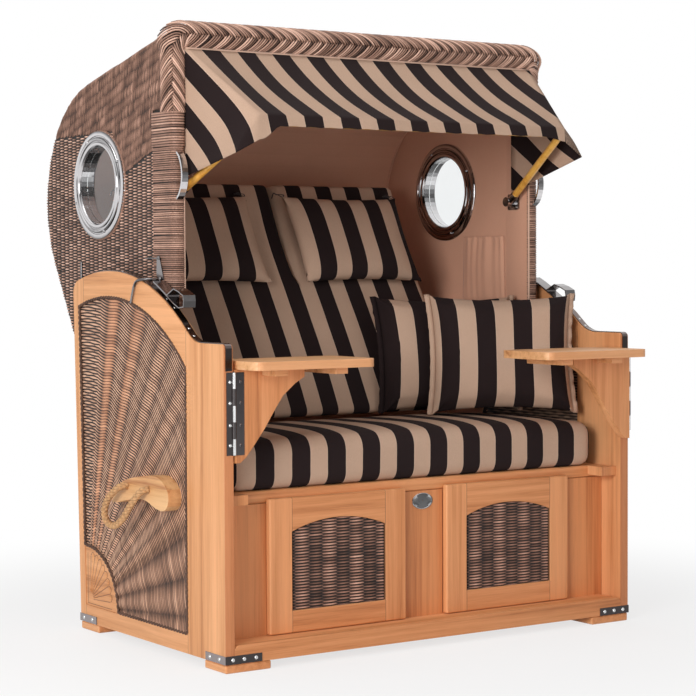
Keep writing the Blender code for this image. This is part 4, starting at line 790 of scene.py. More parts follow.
def hood_side(side_name, side, tree):
    """Strands on one side: the open weave below, the close one above, and the porthole's cord."""
    numbers = np.random.default_rng(11 + side)

    def place_at(y, z, dense):
        over = z - dense_limit(y)
        if (over < 0.0015) if dense else (over > -0.0015):
            return None
        if (y - PORTHOLE[0]) ** 2 + (z - PORTHOLE[1]) ** 2 < 0.1415 ** 2:
            return None
        if y < POST_REAR + 0.0005 and z < 1.394:
            return None
        if y < (0.369 if z < RIM_LOW else RIM_REAR + 0.0005):
            return None
        if y < POST_REAR + 0.001 and z < RIM_LOW:
            return np.array((side * HOOD_HALF, y, z)), np.array((side, 0.0, 0.0))
        found = hit(tree, (side, y, z), (-side, 0, 0))
        if found is None or abs(found[0][0]) < HOOD_HALF - 0.012:
            return None
        return found

    def grid(spots, dense):
        """Places, outward directions and which lie on the weave, for spots as (strands, points, 2)."""
        lines = np.zeros((*spots.shape[:2], 3))
        ways = np.zeros_like(lines)
        ways[..., 0] = side
        inside = np.zeros(spots.shape[:2], bool)
        for i in range(spots.shape[0]):
            for k in range(spots.shape[1]):
                found = place_at(spots[i, k, 0], spots[i, k, 1], dense)
                if found is not None:
                    lines[i, k], ways[i, k] = found
                    inside[i, k] = True
        return lines, ways, inside

    batch = Batch()
    q = np.linspace(-1, 1, 7)
    spots = []
    stake, pitch = 0.0255, OPEN_PITCH
    for row in range(int((1.4 - HOOD_FOOT) / pitch)):
        z = HOOD_FOOT + pitch * row
        for column in range(29):
            if (column + row) % 2:
                continue
            y = 0.372 + stake * (column + 0.5)
            spots.append(np.stack([y + stake * 0.58 * q, np.full(7, z) + numbers.normal(0, 0.0002)], 1))
    spots = np.array(spots)
    lines, ways, inside = grid(spots, False)
    tones = strand_tones(numbers, len(spots), arch(q), *OPEN_TONES)
    lines, ways, tones = clipped(lines, ways, inside, tones)
    dashes(batch, lines, ways, *OPEN_STRAND, tones, OPEN_LIFT + OPEN_RISE * arch(q))
    batch.make(side_name + "_hood_weave", "hood", WICKER, slot="wicker")
    batch = Batch()
    spots = []
    band, pitch, slope = CLOSE_BAND, 0.0052, 0.32
    for row in range(74):
        level = 1.3 + band * row
        for column in range(int((1.06 - 0.36) / pitch)):
            y = SHELL_FRONT + pitch * (column + 0.5 * (row % 2))
            z = level - slope * y + 0.0025 * math.sin(column * 0.23 + row * 2.1)
            if z < 1.18 or z > 1.62:
                continue
            spots.append(np.stack([y + 0.001 * arch(q) - 0.0022 * q + numbers.normal(0, 0.0003),
                                   z + band * 0.6 * q], 1))
    spots = np.array(spots)
    lines, ways, inside = grid(spots, True)
    groups = np.sin(spots[:, 3, 0] * 90 + spots[:, 3, 1] * 31) * 0.05
    tones = strand_tones(numbers, len(spots), arch(q), *CLOSE_TONES, groups)
    lines, ways, tones = clipped(lines, ways, inside, tones)
    dashes(batch, lines, ways, 0.0048, 0.0014, tones, -0.0006 + 0.0016 * arch(q))
    batch.make(side_name + "_hood_top_weave", "hood", WICKER, slot="wicker")
    porthole_cord(side_name, side)


# The strands over the roof and the back end here, inside the sides' faces
ROOF_HALF = 0.592


def hood_back(tree):
    """Strands over the roof, the bow and the back."""
    outline = []
    for angle in np.linspace(math.radians(121), math.radians(-93), 400):
        way = np.array([0, math.cos(angle), math.sin(angle)])
        start = np.array([0.0, *HOOD_CENTRE]) + way * 1.5
        found = hit(tree, start, tuple(-way))
        if found is None or found[0][1] < RIM_REAR + 0.001:
            continue
        place, normal = found
        if outline and np.linalg.norm(np.array(outline[-1][:2]) - place[1:]) > 0.08:
            break
        if normal @ way < 0.1:
            break
        outline.append((*place[1:], *normal[1:]))
    outline = np.array(outline)
    line, reach = resampled(outline, 0.001)
    normals = unit(np.stack([np.zeros(len(line)), line[:, 2], line[:, 3]], 1))
    numbers = np.random.default_rng(23)

    def at(x, s):
        """Places and outward directions at x and the length s along the outline."""
        s = np.clip(s, 0.0, reach[-1])
        y, z = np.interp(s, reach, line[:, 0]), np.interp(s, reach, line[:, 1])
        way = np.stack([np.zeros_like(s), np.interp(s, reach, normals[:, 1]),
                        np.interp(s, reach, normals[:, 2])], -1)
        edge = np.clip((np.abs(x) - 0.585) / 0.0075, 0, 1)
        return np.stack([x, y, z], -1) - unit(way) * (0.004 * edge ** 2)[..., None], unit(way)

    split = float(reach[np.argmax((line[:, 1] < 1.35) & (line[:, 0] > 0.7))])
    q = np.linspace(-1, 1, 6)
    band, pitch = CLOSE_BAND, 0.006
    for name, low, high in (("hood_roof_weave", 0.004, split * 0.5),
                            ("hood_crown_weave", split * 0.5, split)):
        batch, s, x = Batch(), [], []
        for row in range(int((high - low) / band) + 1):
            for column in range(int(1.178 / pitch)):
                middle = low + band * (row + 0.5)
                s.append(middle + band * 0.6 * q)
                x.append(-0.589 + pitch * (column + 0.5 * (row % 2)) + 0.001 * arch(q)
                         + numbers.normal(0, 0.0003))
        s, x = np.clip(np.array(s), 0.002, None), np.clip(np.array(x), -ROOF_HALF, ROOF_HALF)
        lines, ways = at(x, s)
        tones = strand_tones(numbers, len(s), arch(q), *CLOSE_TONES)
        dashes(batch, lines, ways, 0.0056, 0.0016, tones, -0.0012 + 0.0028 * arch(q))
        batch.make(name, "hood", WICKER, slot="wicker")
    stake, pitch = BACK_STAKE, OPEN_PITCH
    rows = int((reach[-1] - 0.004 - split) / pitch)
    for part in range(3):
        batch, s, x = Batch(), [], []
        for row in range(rows * part // 3, rows * (part + 1) // 3):
            for column in range(45):
                if (row + column) % 2:
                    continue
                s.append(np.full(6, split + pitch * (row + 0.5)))
                x.append(-0.5764 + stake * column + stake * 0.62 * q)
        s, x = np.array(s), np.clip(np.array(x), -ROOF_HALF, ROOF_HALF)
        lines, ways = at(x, s)
        tones = strand_tones(numbers, len(s), arch(q), *OPEN_TONES)
        dashes(batch, lines, ways, *OPEN_STRAND, tones, OPEN_LIFT + OPEN_RISE * arch(q))
        batch.make("hood_back_weave_" + str(part + 1), "hood", WICKER, slot="wicker")


# Hood: wrapped posts and braided rim

def post_section(side, grow=0.0):
    """Half loop round a post in (x, y): inner front edge, front, outer side, to its rear."""
    r_in, r_out = 0.006, 0.017
    points = [(POST_INNER + 0.0008 - grow, RIM_Y + 0.012), (POST_INNER + 0.0008 - grow, RIM_Y + r_in)]
    for k in range(4):
        turn = math.pi + math.pi / 2 * k / 3
        points.append((POST_INNER + r_in + (r_in + grow) * math.cos(turn),
                       RIM_Y + r_in + (r_in + grow) * math.sin(turn)))
    for k in range(7):
        turn = -math.pi / 2 + math.pi / 2 * k / 6
        points.append((HOOD_HALF - r_out + (r_out + grow) * math.cos(turn),
                       RIM_Y + r_out + (r_out + grow) * math.sin(turn)))
    for y in (0.365, 0.385, 0.405, 0.425, POST_REAR + 0.002):
        points.append((HOOD_HALF + grow, y))
    return [(side * x, y) for x, y in points]


# The collar at the post's top
COLLAR_LOW, COLLAR_TOP = 1.3, 1.392


def wrapped_post(side):
    """Strands wound round one post, wider in a collar at its top."""
    numbers = np.random.default_rng(31 + side)
    batch = Batch()
    z = POST_FOOT + 0.002
    while z < COLLAR_TOP:
        collar = z > COLLAR_LOW
        grow = 0.0034 if collar else 0.0006
        wide = 0.007 if collar else 0.0054
        flat = np.array(post_section(side, grow))
        reach = np.concatenate([[0], np.cumsum(np.linalg.norm(np.diff(flat, axis=0), axis=1))])
        tilt = numbers.normal(0, 0.0008)
        rise = z + 0.0008 * np.sin(reach * 9) + tilt * reach / reach[-1]
        line = np.stack([flat[:, 0], flat[:, 1], rise], 1)
        middle = np.array([side * (HOOD_HALF - 0.016), RIM_Y + 0.05])
        ahead = unit(np.gradient(line, axis=0))
        normals = np.cross(ahead, (0, 0, 1.0)) * (1 if side > 0 else -1)
        away = line[:, :2] - middle
        flip = np.sign((normals[:, :2] * away).sum(1))
        normals = normals * np.where(flip == 0, 1, flip)[:, None]
        tone = float(np.clip(numbers.normal(0.68, 0.08), 0.35, 0.9))
        if numbers.random() < 0.12:
            tone -= 0.18
        ribbon(batch, line, normals, wide * 0.94, 0.0017, tone + 0.02 * numbers.normal(0, 1, len(line)))
        z += wide
    return batch


def braid_path():
    """The braid's middle line up one post, along the rim and down the other, with its directions."""
    left = [(-0.5985, 0.3325, 1.384), (-0.5985, 0.3325, 1.42), (-0.5985, 0.3325, 1.47),
            (-0.5985, 0.3325, 1.525), (-0.596, 0.3315, 1.553), (-0.587, 0.3302, 1.574),
            (-0.569, 0.329, 1.585), (-0.545, 0.3285, 1.5865)]
    spans = [(x, 0.3285, 1.5865) for x in np.linspace(-0.48, 0.48, 13)]
    right = [(-x, y, z) for x, y, z in reversed(left)]
    line, reach = resampled(smooth_line(left + spans + right, 6), 0.004)
    on_post = np.clip((1.576 - line[:, 2]) / 0.04, 0, 1)
    on_post = on_post * on_post * (3 - 2 * on_post)
    sign = np.sign(line[:, 0])
    normals = unit(np.stack([0.72 * sign * on_post, -np.ones(len(line)) * (1 - 0.3 * on_post),
                             0.1 * (1 - on_post)], 1))
    return line, reach, normals, on_post


def braid():
    """Bundles of strands that cross from both edges of the rim."""
    line, reach, normals, on_post = braid_path()
    ahead = unit(np.gradient(line, axis=0))
    across = unit(np.cross(ahead, normals))
    numbers = np.random.default_rng(41)
    batch = Batch()

    def at(s, t, lift):
        k = np.clip(np.interp(s, reach, np.arange(len(line))), 0, len(line) - 1.001)
        i = k.astype(int)
        f = (k - i)[:, None]

        def pick(a):
            return a[i] * (1 - f) + a[i + 1] * f
        here, n, b = pick(line), unit(pick(normals)), unit(pick(across))
        post = (on_post[i] * (1 - f[:, 0]) + on_post[i + 1] * f[:, 0])
        half = 0.0375 + post * np.where(t < 0, 0.006, -0.013)
        flat = np.abs(t) * half
        depth_rim = 0.026 * np.abs(t) ** 2.8
        depth_post = np.sqrt(flat ** 2 + 0.006 ** 2)
        depth = depth_rim * (1 - post) + depth_post * post
        spot = here + b * (t * half)[:, None] + n * (lift - depth)[:, None]
        tilt = np.where(post > 0.5, 0.85, 0.95) * t * np.abs(t) ** 0.5
        return spot, unit(n + b * tilt[:, None])

    bundle, strands, spacing = 0.0345, 4, 0.008
    q = np.linspace(0, 1, 14)
    rise = np.sin(np.pi * np.clip(q * 1.06 - 0.03, 0, 1)) ** 0.6
    taper = np.clip(np.minimum(q, 1 - q) / 0.09, 0.25, 1)
    for sign in (-1, 1):
        start = -0.075 if sign < 0 else -0.075 + bundle / 2
        while start < reach[-1] + 0.02:
            for k in range(strands):
                s = start + k * spacing + 0.06 * q
                t = sign * (1.03 - 1.28 * q ** 1.45)
                lift = 0.0002 + 0.0074 * rise - 0.0062 * np.clip((q - 0.84) / 0.16, 0, 1)
                lift = lift + (0.001, 0.0022, 0.0018, -0.0002)[k]
                keep = (s > 0) & (s < reach[-1])
                if keep.sum() < 3:
                    continue
                spots, ways = at(s[keep], t[keep], lift[keep])
                tone = float(np.clip(numbers.normal(0.8, 0.16), 0.42, 1.2)) - (0.0, 0.0, 0.06, 0.24)[k]
                # The strand's ends, where it tucks under the next bundle, get painted shade.
                end_shade = -0.42 * np.clip((q - 0.78) / 0.22, 0, 1) - 0.34 * np.clip((0.14 - q) / 0.14, 0, 1)
                ribbon(batch, spots, ways, 0.0053 * taper[keep], 0.0034, tone + end_shade[keep])
            start += bundle
    return batch


def rim_back(batch):
    """Strands along the rim behind its braid."""
    tree = tree_of("hood_front_frame")
    numbers = np.random.default_rng(43)

    def strand(half, start_of, way, good, outward, mean):
        """One strand where the rays between two ends meet the frame."""
        found = [hit(tree, start_of(x), way) for x in np.linspace(-half, half, 90)]
        line = [spot[0] for spot in found if spot is not None and good(spot[0])]
        if len(line) > 2:
            tone = mean + numbers.normal(0, 0.07) + 0.03 * numbers.normal(0, 1, len(line))
            ribbon(batch, line, np.repeat([outward], len(line), 0), 0.006, 0.0018, tone, 0.0004)

    y = 0.35
    while y < RIM_REAR + 0.0005:
        strand(0.585, lambda x: (x, y, 2.0), (0, 0, -1), lambda p: p[2] > 1.5, (0, 0.3, 1.0), 0.52)
        y += 0.0058
    z = 1.592
    while z < 1.609:
        strand(0.598, lambda x: (x, 0.6, z), (0, -1, 0), lambda p: p[1] < RIM_REAR + 0.001,
               (0, 1.0, 0.2), 0.5)
        z += 0.0056
    return batch


# How dark the core is
CORE_TONE = 0.14


def front_frame_core(batch):
    """The core under the wraps and the braid, dark as painted shade between their strands."""
    for side in (-1, 1):
        flat = np.array(post_section(side, -0.0012) + [(side * (POST_INNER + 0.002), POST_REAR - 0.001)])
        lows, highs = POST_FOOT + 0.001, 1.555
        count = len(flat)
        points = np.concatenate([np.c_[flat, np.full(count, lows)], np.c_[flat, np.full(count, highs)]])
        faces = [(k, (k + 1) % count, count + (k + 1) % count, count + k) for k in range(count)]
        centre = flat.mean(0)
        points = np.concatenate([points, [(*centre, lows), (*centre, highs)]])
        for k in range(0, count - 1, 2):
            faces.append((2 * count, k, k + 1, (k + 2) % count))
            faces.append((2 * count + 1, count + (k + 2) % count, count + k + 1, count + k))
        batch.add(points, faces, CORE_TONE)
    turns = circle(20)
    ys = 0.356 + 0.0235 * np.sign(np.cos(turns)) * np.abs(np.cos(turns)) ** 0.6
    zs = 1.58 + 0.027 * np.sign(np.sin(turns)) * np.abs(np.sin(turns)) ** 0.6
    xs = np.concatenate([[-0.5975, -0.59], np.linspace(-0.576, 0.576, 7), [0.59, 0.5975]])
    shrink = np.array([0.5, 0.84] + [1.0] * 7 + [0.84, 0.5])
    points = np.concatenate([np.stack([np.full(20, x), 0.356 + (ys - 0.356) * s,
                                       1.575 + (zs - 1.575) * s], 1) for x, s in zip(xs, shrink)])
    batch.add(points, net(len(xs), 20, True)[:, REVERSED], CORE_TONE)


# Base: sunburst panels

def inside_panel(tree, side, y, z):
    """The place and outward direction on a side's wicker panel, or nothing beside it."""
    found = hit(tree, (side, y, z), (-side, 0, 0))
    if found is None or abs(found[0][0]) < 0.6445:
        return None
    return found


def base_panel(side_name, side):
    """Rows of strands in arcs round the panel's rear lower corner, as a rising sun."""
    tree = tree_of(side_name + "_wicker_panel")
    numbers = np.random.default_rng(53 + side)
    batch = Batch()
    # The sun's middle, the angle between two rays, and one ray's angle, in degrees
    centre = (0.748, 0.066)
    period, ridge = 9.8, 78.3

    def spot(radius, angle):
        turn = math.radians(angle)
        return centre[0] - radius * math.cos(turn), centre[1] + radius * math.sin(turn)

    def closeness(radius, angle):
        low = min(1.0, max(0.0, (31 - angle) / 7))
        front = min(1.0, max(0.0, (radius * math.cos(math.radians(angle)) - 0.515) / 0.05))
        return max(low, 0.55 * front)

    pitch = PANEL_PITCH
    for row in range(97):
        radius = 0.165 + pitch * row

        def place(angle, radius=radius):
            close = closeness(radius, angle)
            sway = -0.005 * math.sin(2 * math.pi * (angle - ridge) / period) * (1 - close)
            if angle > 84:
                sway = 0.0
            found = inside_panel(tree, side, *spot(radius + sway, angle))
            return None if found is None else (*found, close)

        step = 0.7 if radius > 0.4 else 1.0
        runs = runs_of(np.arange(-7, 101, step), place)
        own = numbers.normal(0, 0.06)
        for run in runs:
            angles = np.array([v for v, _ in run])
            close = np.array([s[2] for _, s in run])
            tan = np.clip(0.5 + 0.95 * np.cos(2 * math.pi * (angles - ridge) / period), 0, 1)
            lobes = np.abs(np.cos(2 * math.pi * (angles - ridge) / period)) ** 0.7
            brick = 0.5 + 0.5 * np.cos(math.pi * (angles - 85.6) / 2.9 + math.pi * row)
            rear = np.clip((angles - 82.5) / 1.0, 0, 1)
            tan = tan * (1 - rear)
            first = np.clip((angles - 62) / 8, 0.25, 1)
            cover = 0.56 + 0.4 * tan * first
            cover = cover * (1 - rear) + (0.58 + 0.22 * brick) * rear
            cover = np.maximum(cover, 1.02 * close)
            crease = np.abs(np.cos(math.pi * (angles - ridge) / period))
            lift = (0.0012 * lobes * (1 - rear) + 0.001 * brick * rear) * (1 - close)
            lift = lift + 0.0048 * crease ** 0.8 * close - 0.0008
            # The tone drops where the strand dips (low lobes and bricks) and in the close weave's creases, as
            # painted shade.
            bright = 0.98 - 0.3 * (1 - lobes) * (1 - rear) - 0.22 * (1
                                                                      - brick) * rear - 0.1 * tan * first
            shaded = 0.32 + 0.44 * crease ** 0.6 + 0.7 * numbers.normal(0, 0.1)
            tone = own + bright * (1 - close) + shaded * close
            warm = tan * first * (1 - close)
            line = np.array([s[0] for _, s in run])
            ribbon(batch, line, [s[1] for _, s in run], pitch * cover, 0.0009, tone, lift, warm)
    batch.make(side_name + "_panel_weave", "base", WICKER_SIDE, slot="wicker")
    panel_cord(side_name, side, tree)


def panel_cord(side_name, side, tree):
    """Two strands twisted along the panel's outline."""
    edge = panel_edge(tree, side)
    cord = Batch()
    for strand in range(2):
        count = len(edge)
        twist = np.arange(count) * 0.9 + math.pi * strand
        ahead = unit(np.roll(edge, -1, 0) - np.roll(edge, 1, 0))
        out = np.array([side, 0, 0])
        across = np.cross(ahead, out)
        line = edge + across * (0.0022 * np.cos(twist))[:, None] + out * (0.0014 + 0.002
                                                                          * np.sin(twist))[:, None]
        cord.add(*tube(line, 0.003, 5, closed=True), 0.34)
    cord.make(side_name + "_panel_cord", "base", WICKER_SIDE, slot="wicker")


def panel_edge(tree, side):
    """The panel's outline, found from its middle outwards and drawn in by a few millimetres."""
    middle = np.array((0.47, 0.36))
    points = []
    for turn in circle(360):
        way = np.array((math.cos(turn), math.sin(turn)))
        low, high = 0.02, 0.75
        for _ in range(13):
            here = (low + high) / 2
            y, z = middle + way * here
            if inside_panel(tree, side, y, z) is None:
                high = here
            else:
                low = here
        points.append(middle + way * (low - 0.0028))
    line, _ = resampled(np.array(points + points[:1]), 0.0042)
    return np.c_[np.full(len(line) - 1, side * 0.6478), line[:-1]]


def footrest_panel(side_name, side):
    """The footrest's wicker front: short strands over upright stakes."""
    tree = tree_of(side_name + "_footrest_wicker")
    low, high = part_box(side_name + "_footrest_wicker")
    numbers = np.random.default_rng(67 + side)
    front = low.y - SHIFT_Y
    stake, pitch = 0.0415, 0.00385
    q = np.linspace(-1, 1, 9)
    lines, ways, inside, tones = [], [], [], []
    middle = (low.x + high.x) / 2
    for row in range(int((high.z - low.z) / pitch) + 1):
        z = low.z + 0.001 + pitch * row
        for column in range(-5, 6):
            if (column + row) % 2:
                continue
            xs = middle + stake * (column + 0.35) + stake * 0.6 * q
            spots, found_any = [], []
            for x in xs:
                found = hit(tree, (x, -1.0, z), (0, 1, 0))
                good = found is not None and found[0][1] < front + 0.003
                spots.append(found[0] if good else (x, front, z))
                found_any.append(good)
            lines.append(spots)
            inside.append(found_any)
            near = 0.12 if column % 2 else -0.08
            # The arch term paints shade on the strand's ends, where it dips under.
            tones.append(0.62 + near + numbers.normal(0, 0.08) + 0.42 * arch(q) - 0.34)
    lines = np.array(lines)
    ways = np.zeros_like(lines)
    ways[..., 1] = -1
    lines, ways, tones = clipped(lines, ways, np.array(inside), np.array(tones))
    batch = Batch()
    dashes(batch, lines, ways, 0.0045, 0.0013, tones, -0.0016 + 0.0038 * arch(q))
    batch.make(side_name + "_footrest_weave", side_name + "_footrest", WICKER_PALE, slot="wicker")


# Cushions and pillows

def graded(half, rounding, count, extra=()):
    """Coordinates along a cushion's side, closer together at its round edges and at extra places."""
    start = [-half + rounding * (1 - math.cos(math.pi / 2 * k / 5)) for k in range(6)]
    middle = list(np.linspace(-half + rounding, half - rounding, count + 1)[1:-1])
    values = start + middle + [-v for v in start]
    values = [v for v in values if all(abs(v - e) > 0.004 for e in extra)] + list(extra)
    return sorted(values)


def rounded_cushion(name, halves, rounding, lines, shape, body, material):
    """A cushion with round edges: shape turns its own places, middle at 0, into the chair's."""
    inner = [h - rounding for h in halves]
    index, points, uv = {}, [], []

    def vertex(key):
        if key not in index:
            raw = np.array([lines[n][key[n]] for n in range(3)])
            core = np.clip(raw, [-v for v in inner], inner)
            out = raw - core
            length = np.linalg.norm(out)
            index[key] = len(points)
            local = core + out / length * rounding if length > 1e-9 else raw
            points.append(shape(local))
            uv.append((points[-1][0], raw[1] + raw[2]))
        return index[key]

    faces = shell_faces([len(line) - 1 for line in lines], vertex)
    return mesh_piece(name, points, faces, body, material, uv=uv)


# The seat cushion's thickness and the crown of its top
SEAT_THICK, SEAT_CROWN = 0.122, 0.018


def seat_cushion():
    """The seat's cover, crowned on top and drawn in at its sides."""
    width, thick, crown, draw = 1.17, SEAT_THICK, SEAT_CROWN, 0.006
    front, rear = 0.07, 0.53
    depth = rear - front
    middle = np.array((0, (front + rear) / 2, DECK_TOP + CLEARANCE + thick / 2))

    def shape(p):
        u, v = 2 * p[0] / width, 2 * p[1] / depth
        lift = (p[2] / thick + 0.5) * crown * (1 - u ** 4) * (1 - v ** 4)
        x = p[0] - draw * u * abs(u) ** 6 * (1 - v * v)
        y = p[1] - draw * v * abs(v) ** 6 * (1 - u * u)
        soft = noise.noise(Vector((x * 4.3, y * 5.1 + 3.0, p[2] * 9))) * 0.0022
        soft += noise.noise(Vector((x * 11 + 7, y * 10, p[2] * 14))) * 0.0009
        lift += soft * (p[2] / thick + 0.5)
        y += soft * 0.8 * (v < 0)
        return middle + (x, y, p[2] + min(lift, crown * 1.02))

    halves, rounding = (width / 2, depth / 2, thick / 2), 0.034
    lines = [graded(half, rounding, count) for half, count in zip(halves, (64, 26, 4))]
    made = rounded_cushion("seat_cushion_cover", halves, rounding, lines, shape, "base",
                           striped("seat_stripes", -0.5721, dark_first=False, width=0.05425))
    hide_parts("seat_cushion")


# The backrest cushion's front, as places in (y, z)
BACKREST = smooth_line([(0.455, 0.576), (0.625, 0.85), (0.764, 1.07), (0.83, 1.235)], 4)


def backrest_line(behind):
    """The backrest's front line moved back by a length, level at its foot and square to it above."""
    line = BACKREST
    moved = []
    for i, here in enumerate(line):
        along = unit(line[min(i + 1, len(line) - 1)] - line[max(i - 1, 0)])
        square = np.array((along[1], -along[0]))
        level = np.array((1 / along[1], 0))
        share = max(0, 1 - 2 * i / len(line))
        moved.append(here + (square * (1 - share) + level * share) * behind)
    return np.array(moved)


def backrest_at(z):
    """The backrest's front at a height."""
    line = BACKREST
    k = np.interp(z, line[:, 1], np.arange(len(line)))
    i = min(int(k), len(line) - 2)
    return line[i] * (1 - k + i) + line[i + 1] * (k - i)


def back_cushion():
    """The backrest's cover, bent along the backrest, with its split at the top."""
    width, thick, rounding = 0.88, 0.07, 0.024
    line = BACKREST
    length = float(np.linalg.norm(np.diff(line, axis=0), axis=1).sum())
    cache = {}

    def shape(p):
        u, w = 2 * p[0] / width, 2 * p[2] / length
        front = 0.5 - p[1] / thick
        crown = front * 0.012 * (1 - w ** 4) * (1 - u ** 6)
        share = p[2] / length + 0.5
        place = share * (len(line) - 1)
        i = min(max(int(place), 0), len(line) - 2)
        z_here = line[i][1] * (1 - place + i) + line[i + 1][1] * (place - i)
        half_gap = 0.004 + 0.0085 * max(0.0, min(1.0, (z_here - 0.955) / 0.26))
        open_share = max(0.0, min(1.0, (z_here - 0.935) / 0.035))
        near = abs(p[0])
        groove, x = 0.0, p[0]
        if open_share > 0 and near < 0.03:
            fall = 1 - min(1.0, max(0.0, near - half_gap * 0.5) / 0.022)
            groove = open_share * (0.02 * fall ** 2.2)
            if near < half_gap * 0.5:
                groove = open_share * 0.066
        behind = p[1] + thick / 2 - crown + groove * front
        soft = noise.noise(Vector((p[0] * 6, p[2] * 6, 4.2))) * 0.002 + noise.noise(
            Vector((p[0] * 17, p[2] * 15, 9.0))) * 0.0008
        behind += soft * front
        key = round(behind, 5)
        if key not in cache:
            cache[key] = backrest_line(behind)
        moved = cache[key]
        y, z = moved[i] * (1 - place + i) + moved[i + 1] * (place - i)
        return np.array((x, y, z))

    halves = (width / 2, thick / 2, length / 2)
    split = (-0.021, -0.014, -0.0095, -0.0068, -0.0058, -0.0035, 0.0, 0.0035, 0.0058, 0.0068, 0.0095,
             0.014, 0.021)
    lines = [graded(halves[0], rounding, 48, split), graded(halves[1], rounding, 2),
             graded(halves[2], rounding, 40)]
    made = rounded_cushion("back_cushion_cover", halves, rounding, lines, shape, "hood",
                           striped("back_stripes", 0.0457, width=0.05245))
    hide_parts("back_cushion")


def pillow_points(size, seam, draw, place, columns, rows):
    """Two bulged sheets that meet in a flat seam."""
    width, height, thickness = size
    points, uv, faces = [], [], []
    for face in (1, -1):
        for j in range(rows + 1):
            for i in range(columns + 1):
                u = math.sin(math.pi / 2 * (2 * i / columns - 1))
                v = math.sin(math.pi / 2 * (2 * j / rows - 1))
                x = width / 2 * u - draw * u * (1 - v * v)
                z = height / 2 * v - draw * v * (1 - u * u)
                bulge = ((1 - u ** 4) * (1 - v ** 4)) ** 0.55
                out = face * (seam / 2 + (thickness - seam) / 2 * bulge)
                points.append(place(np.array((x, out, z))))
                uv.append((width / 2 * u, height / 2 * v))
    sheet = (rows + 1) * (columns + 1)

    def at(face, i, j):
        return face * sheet + j * (columns + 1) + i

    for j in range(rows):
        for i in range(columns):
            faces.append((at(0, i, j), at(0, i, j + 1), at(0, i + 1, j + 1), at(0, i + 1, j)))
            faces.append((at(1, i, j), at(1, i + 1, j), at(1, i + 1, j + 1), at(1, i, j + 1)))
    rim = [(i, 0) for i in range(columns)] + [(columns, j) for j in range(rows)]
    rim += [(i, rows) for i in range(columns, 0, -1)] + [(0, j) for j in range(rows, 0, -1)]
    for one, two in zip(rim, rim[1:] + rim[:1]):
        faces.append((at(0, *one), at(0, *two), at(1, *two), at(1, *one)))
    return points, faces, uv


def coordinates(mesh):
    """A mesh's points as rows."""
    flat = np.zeros(len(mesh.vertices) * 3)
    mesh.vertices.foreach_get("co", flat)
    return flat.reshape(-1, 3)


def inflate(made, pressure, cap):
    """Blows the cover up a little as cloth, so that it puckers at its seams, and keeps each point near."""
    before = coordinates(made.data)
    step = made.modifiers.new("inflate", "CLOTH")
    wanted = {"quality": 6, "mass": 0.25, "tension_stiffness": 12, "compression_stiffness": 12,
              "shear_stiffness": 4, "bending_stiffness": 0.4, "use_pressure": True,
              "uniform_pressure_force": pressure, "shrink_min": -0.035}
    for key, value in wanted.items():
        setattr(step.settings, key, value)
    step.settings.effector_weights.gravity = 0
    step.collision_settings.use_collision = False
    for number in range(1, 15):
        scene.frame_set(number)
    after = coordinates(made.evaluated_get(bpy.context.evaluated_depsgraph_get()).data)
    made.modifiers.remove(step)
    scene.frame_set(1)
    moved = after - before
    length = np.linalg.norm(moved, axis=1, keepdims=True)
    moved *= np.minimum(1.0, cap / np.maximum(length, 1e-9))
    made.data.vertices.foreach_set("co", (before + moved).ravel())
    made.data.update()


# A pillow's cover starts this much smaller, is blown up by this pressure, and moves no further than this
PILLOW_FIT, PILLOW_PRESSURE, PILLOW_REACH = 0.985, 5.0, 0.006


def throw_pillow(name, node, x, y, yaw, lean, stripes):
    """A pillow standing on the seat, its foot at x and y, turned by yaw and leaning back by lean."""
    size = (0.42, 0.345, 0.105)
    floor = DECK_TOP + SEAT_THICK + SEAT_CROWN - CLEARANCE
    turn = Matrix.Rotation(-yaw, 3, "Z") @ Matrix.Rotation(-lean, 3, "X")
    foot = size[1] / 2 + 0.008 * math.sin(lean)

    def place(p):
        moved = turn @ Vector((p[0] * PILLOW_FIT, p[1] * 0.93, p[2] * PILLOW_FIT + foot))
        return np.array(moved) + (x, y, floor)

    points, faces, uv = pillow_points(size, 0.008, 0.014, place, 52, 44)
    made = mesh_piece(name, points, faces, "base", stripes, uv=uv)
    inflate(made, PILLOW_PRESSURE, PILLOW_REACH)
    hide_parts(node)
    flange_of(name + "_flange", size, place, "base", stripes)
    return made


def flange_of(name, size, place, body, stripes):
    """The flat sewn edge of a pillow's two upright sides."""
    width, height, _ = size
    batch = Batch()
    for end in (-1, 1):
        rows, uv = [], []
        for k in range(37):
            v = 2 * k / 36 - 1
            x = end * (width / 2 - 0.014 * (1 - v * v))
            wave = 0.0022 * math.sin(k * 1.5 + end) + 0.0012 * math.sin(k * 3.7)
            for i, dx in enumerate((-0.006, 0.002, 0.0095)):
                rows.append(place(np.array((x + end * dx, wave * i, height / 2 * v * 0.995))))
                uv.append((end * (width / 2 + dx), height / 2 * v))
        batch.add(rows, net(37, 3), uv=uv)
    made = batch.make(name, body, stripes, slot="stripe")
    thicken(made, 0.0022, 0)


def pillow_ties(side_name, middle_x, place):
    """Bands from a neck pillow's upper corners to the top of the backrest cushion."""
    ties = Batch()
    top = backrest_line(-0.004)
    for end in (-1, 1):
        x = middle_x + end * 0.19
        corner = place(np.array((end * 0.2, 0, 0.14)))
        knot = np.array((x, top[-2][0] - 0.004, top[-2][1] + 0.004))
        for strand in (-1, 1):
            sag = np.array((0.01 * strand, -0.004, 0.004))
            line = smooth_line([corner, (corner + knot) / 2 + sag, knot], 6)
            ties.add(*tube(line, 0.0022, 6, squash=0.5))
        ties.add(*tube(smooth_line([knot, knot + (0.012 * end, -0.006, 0.004),
                                    knot + (0.02 * end, -0.008, -0.012)], 5), 0.0022, 6, squash=0.5))
    ties.make(side_name + "_neck_pillow_ties", "hood", DARK_CLOTH, slot="stripe")


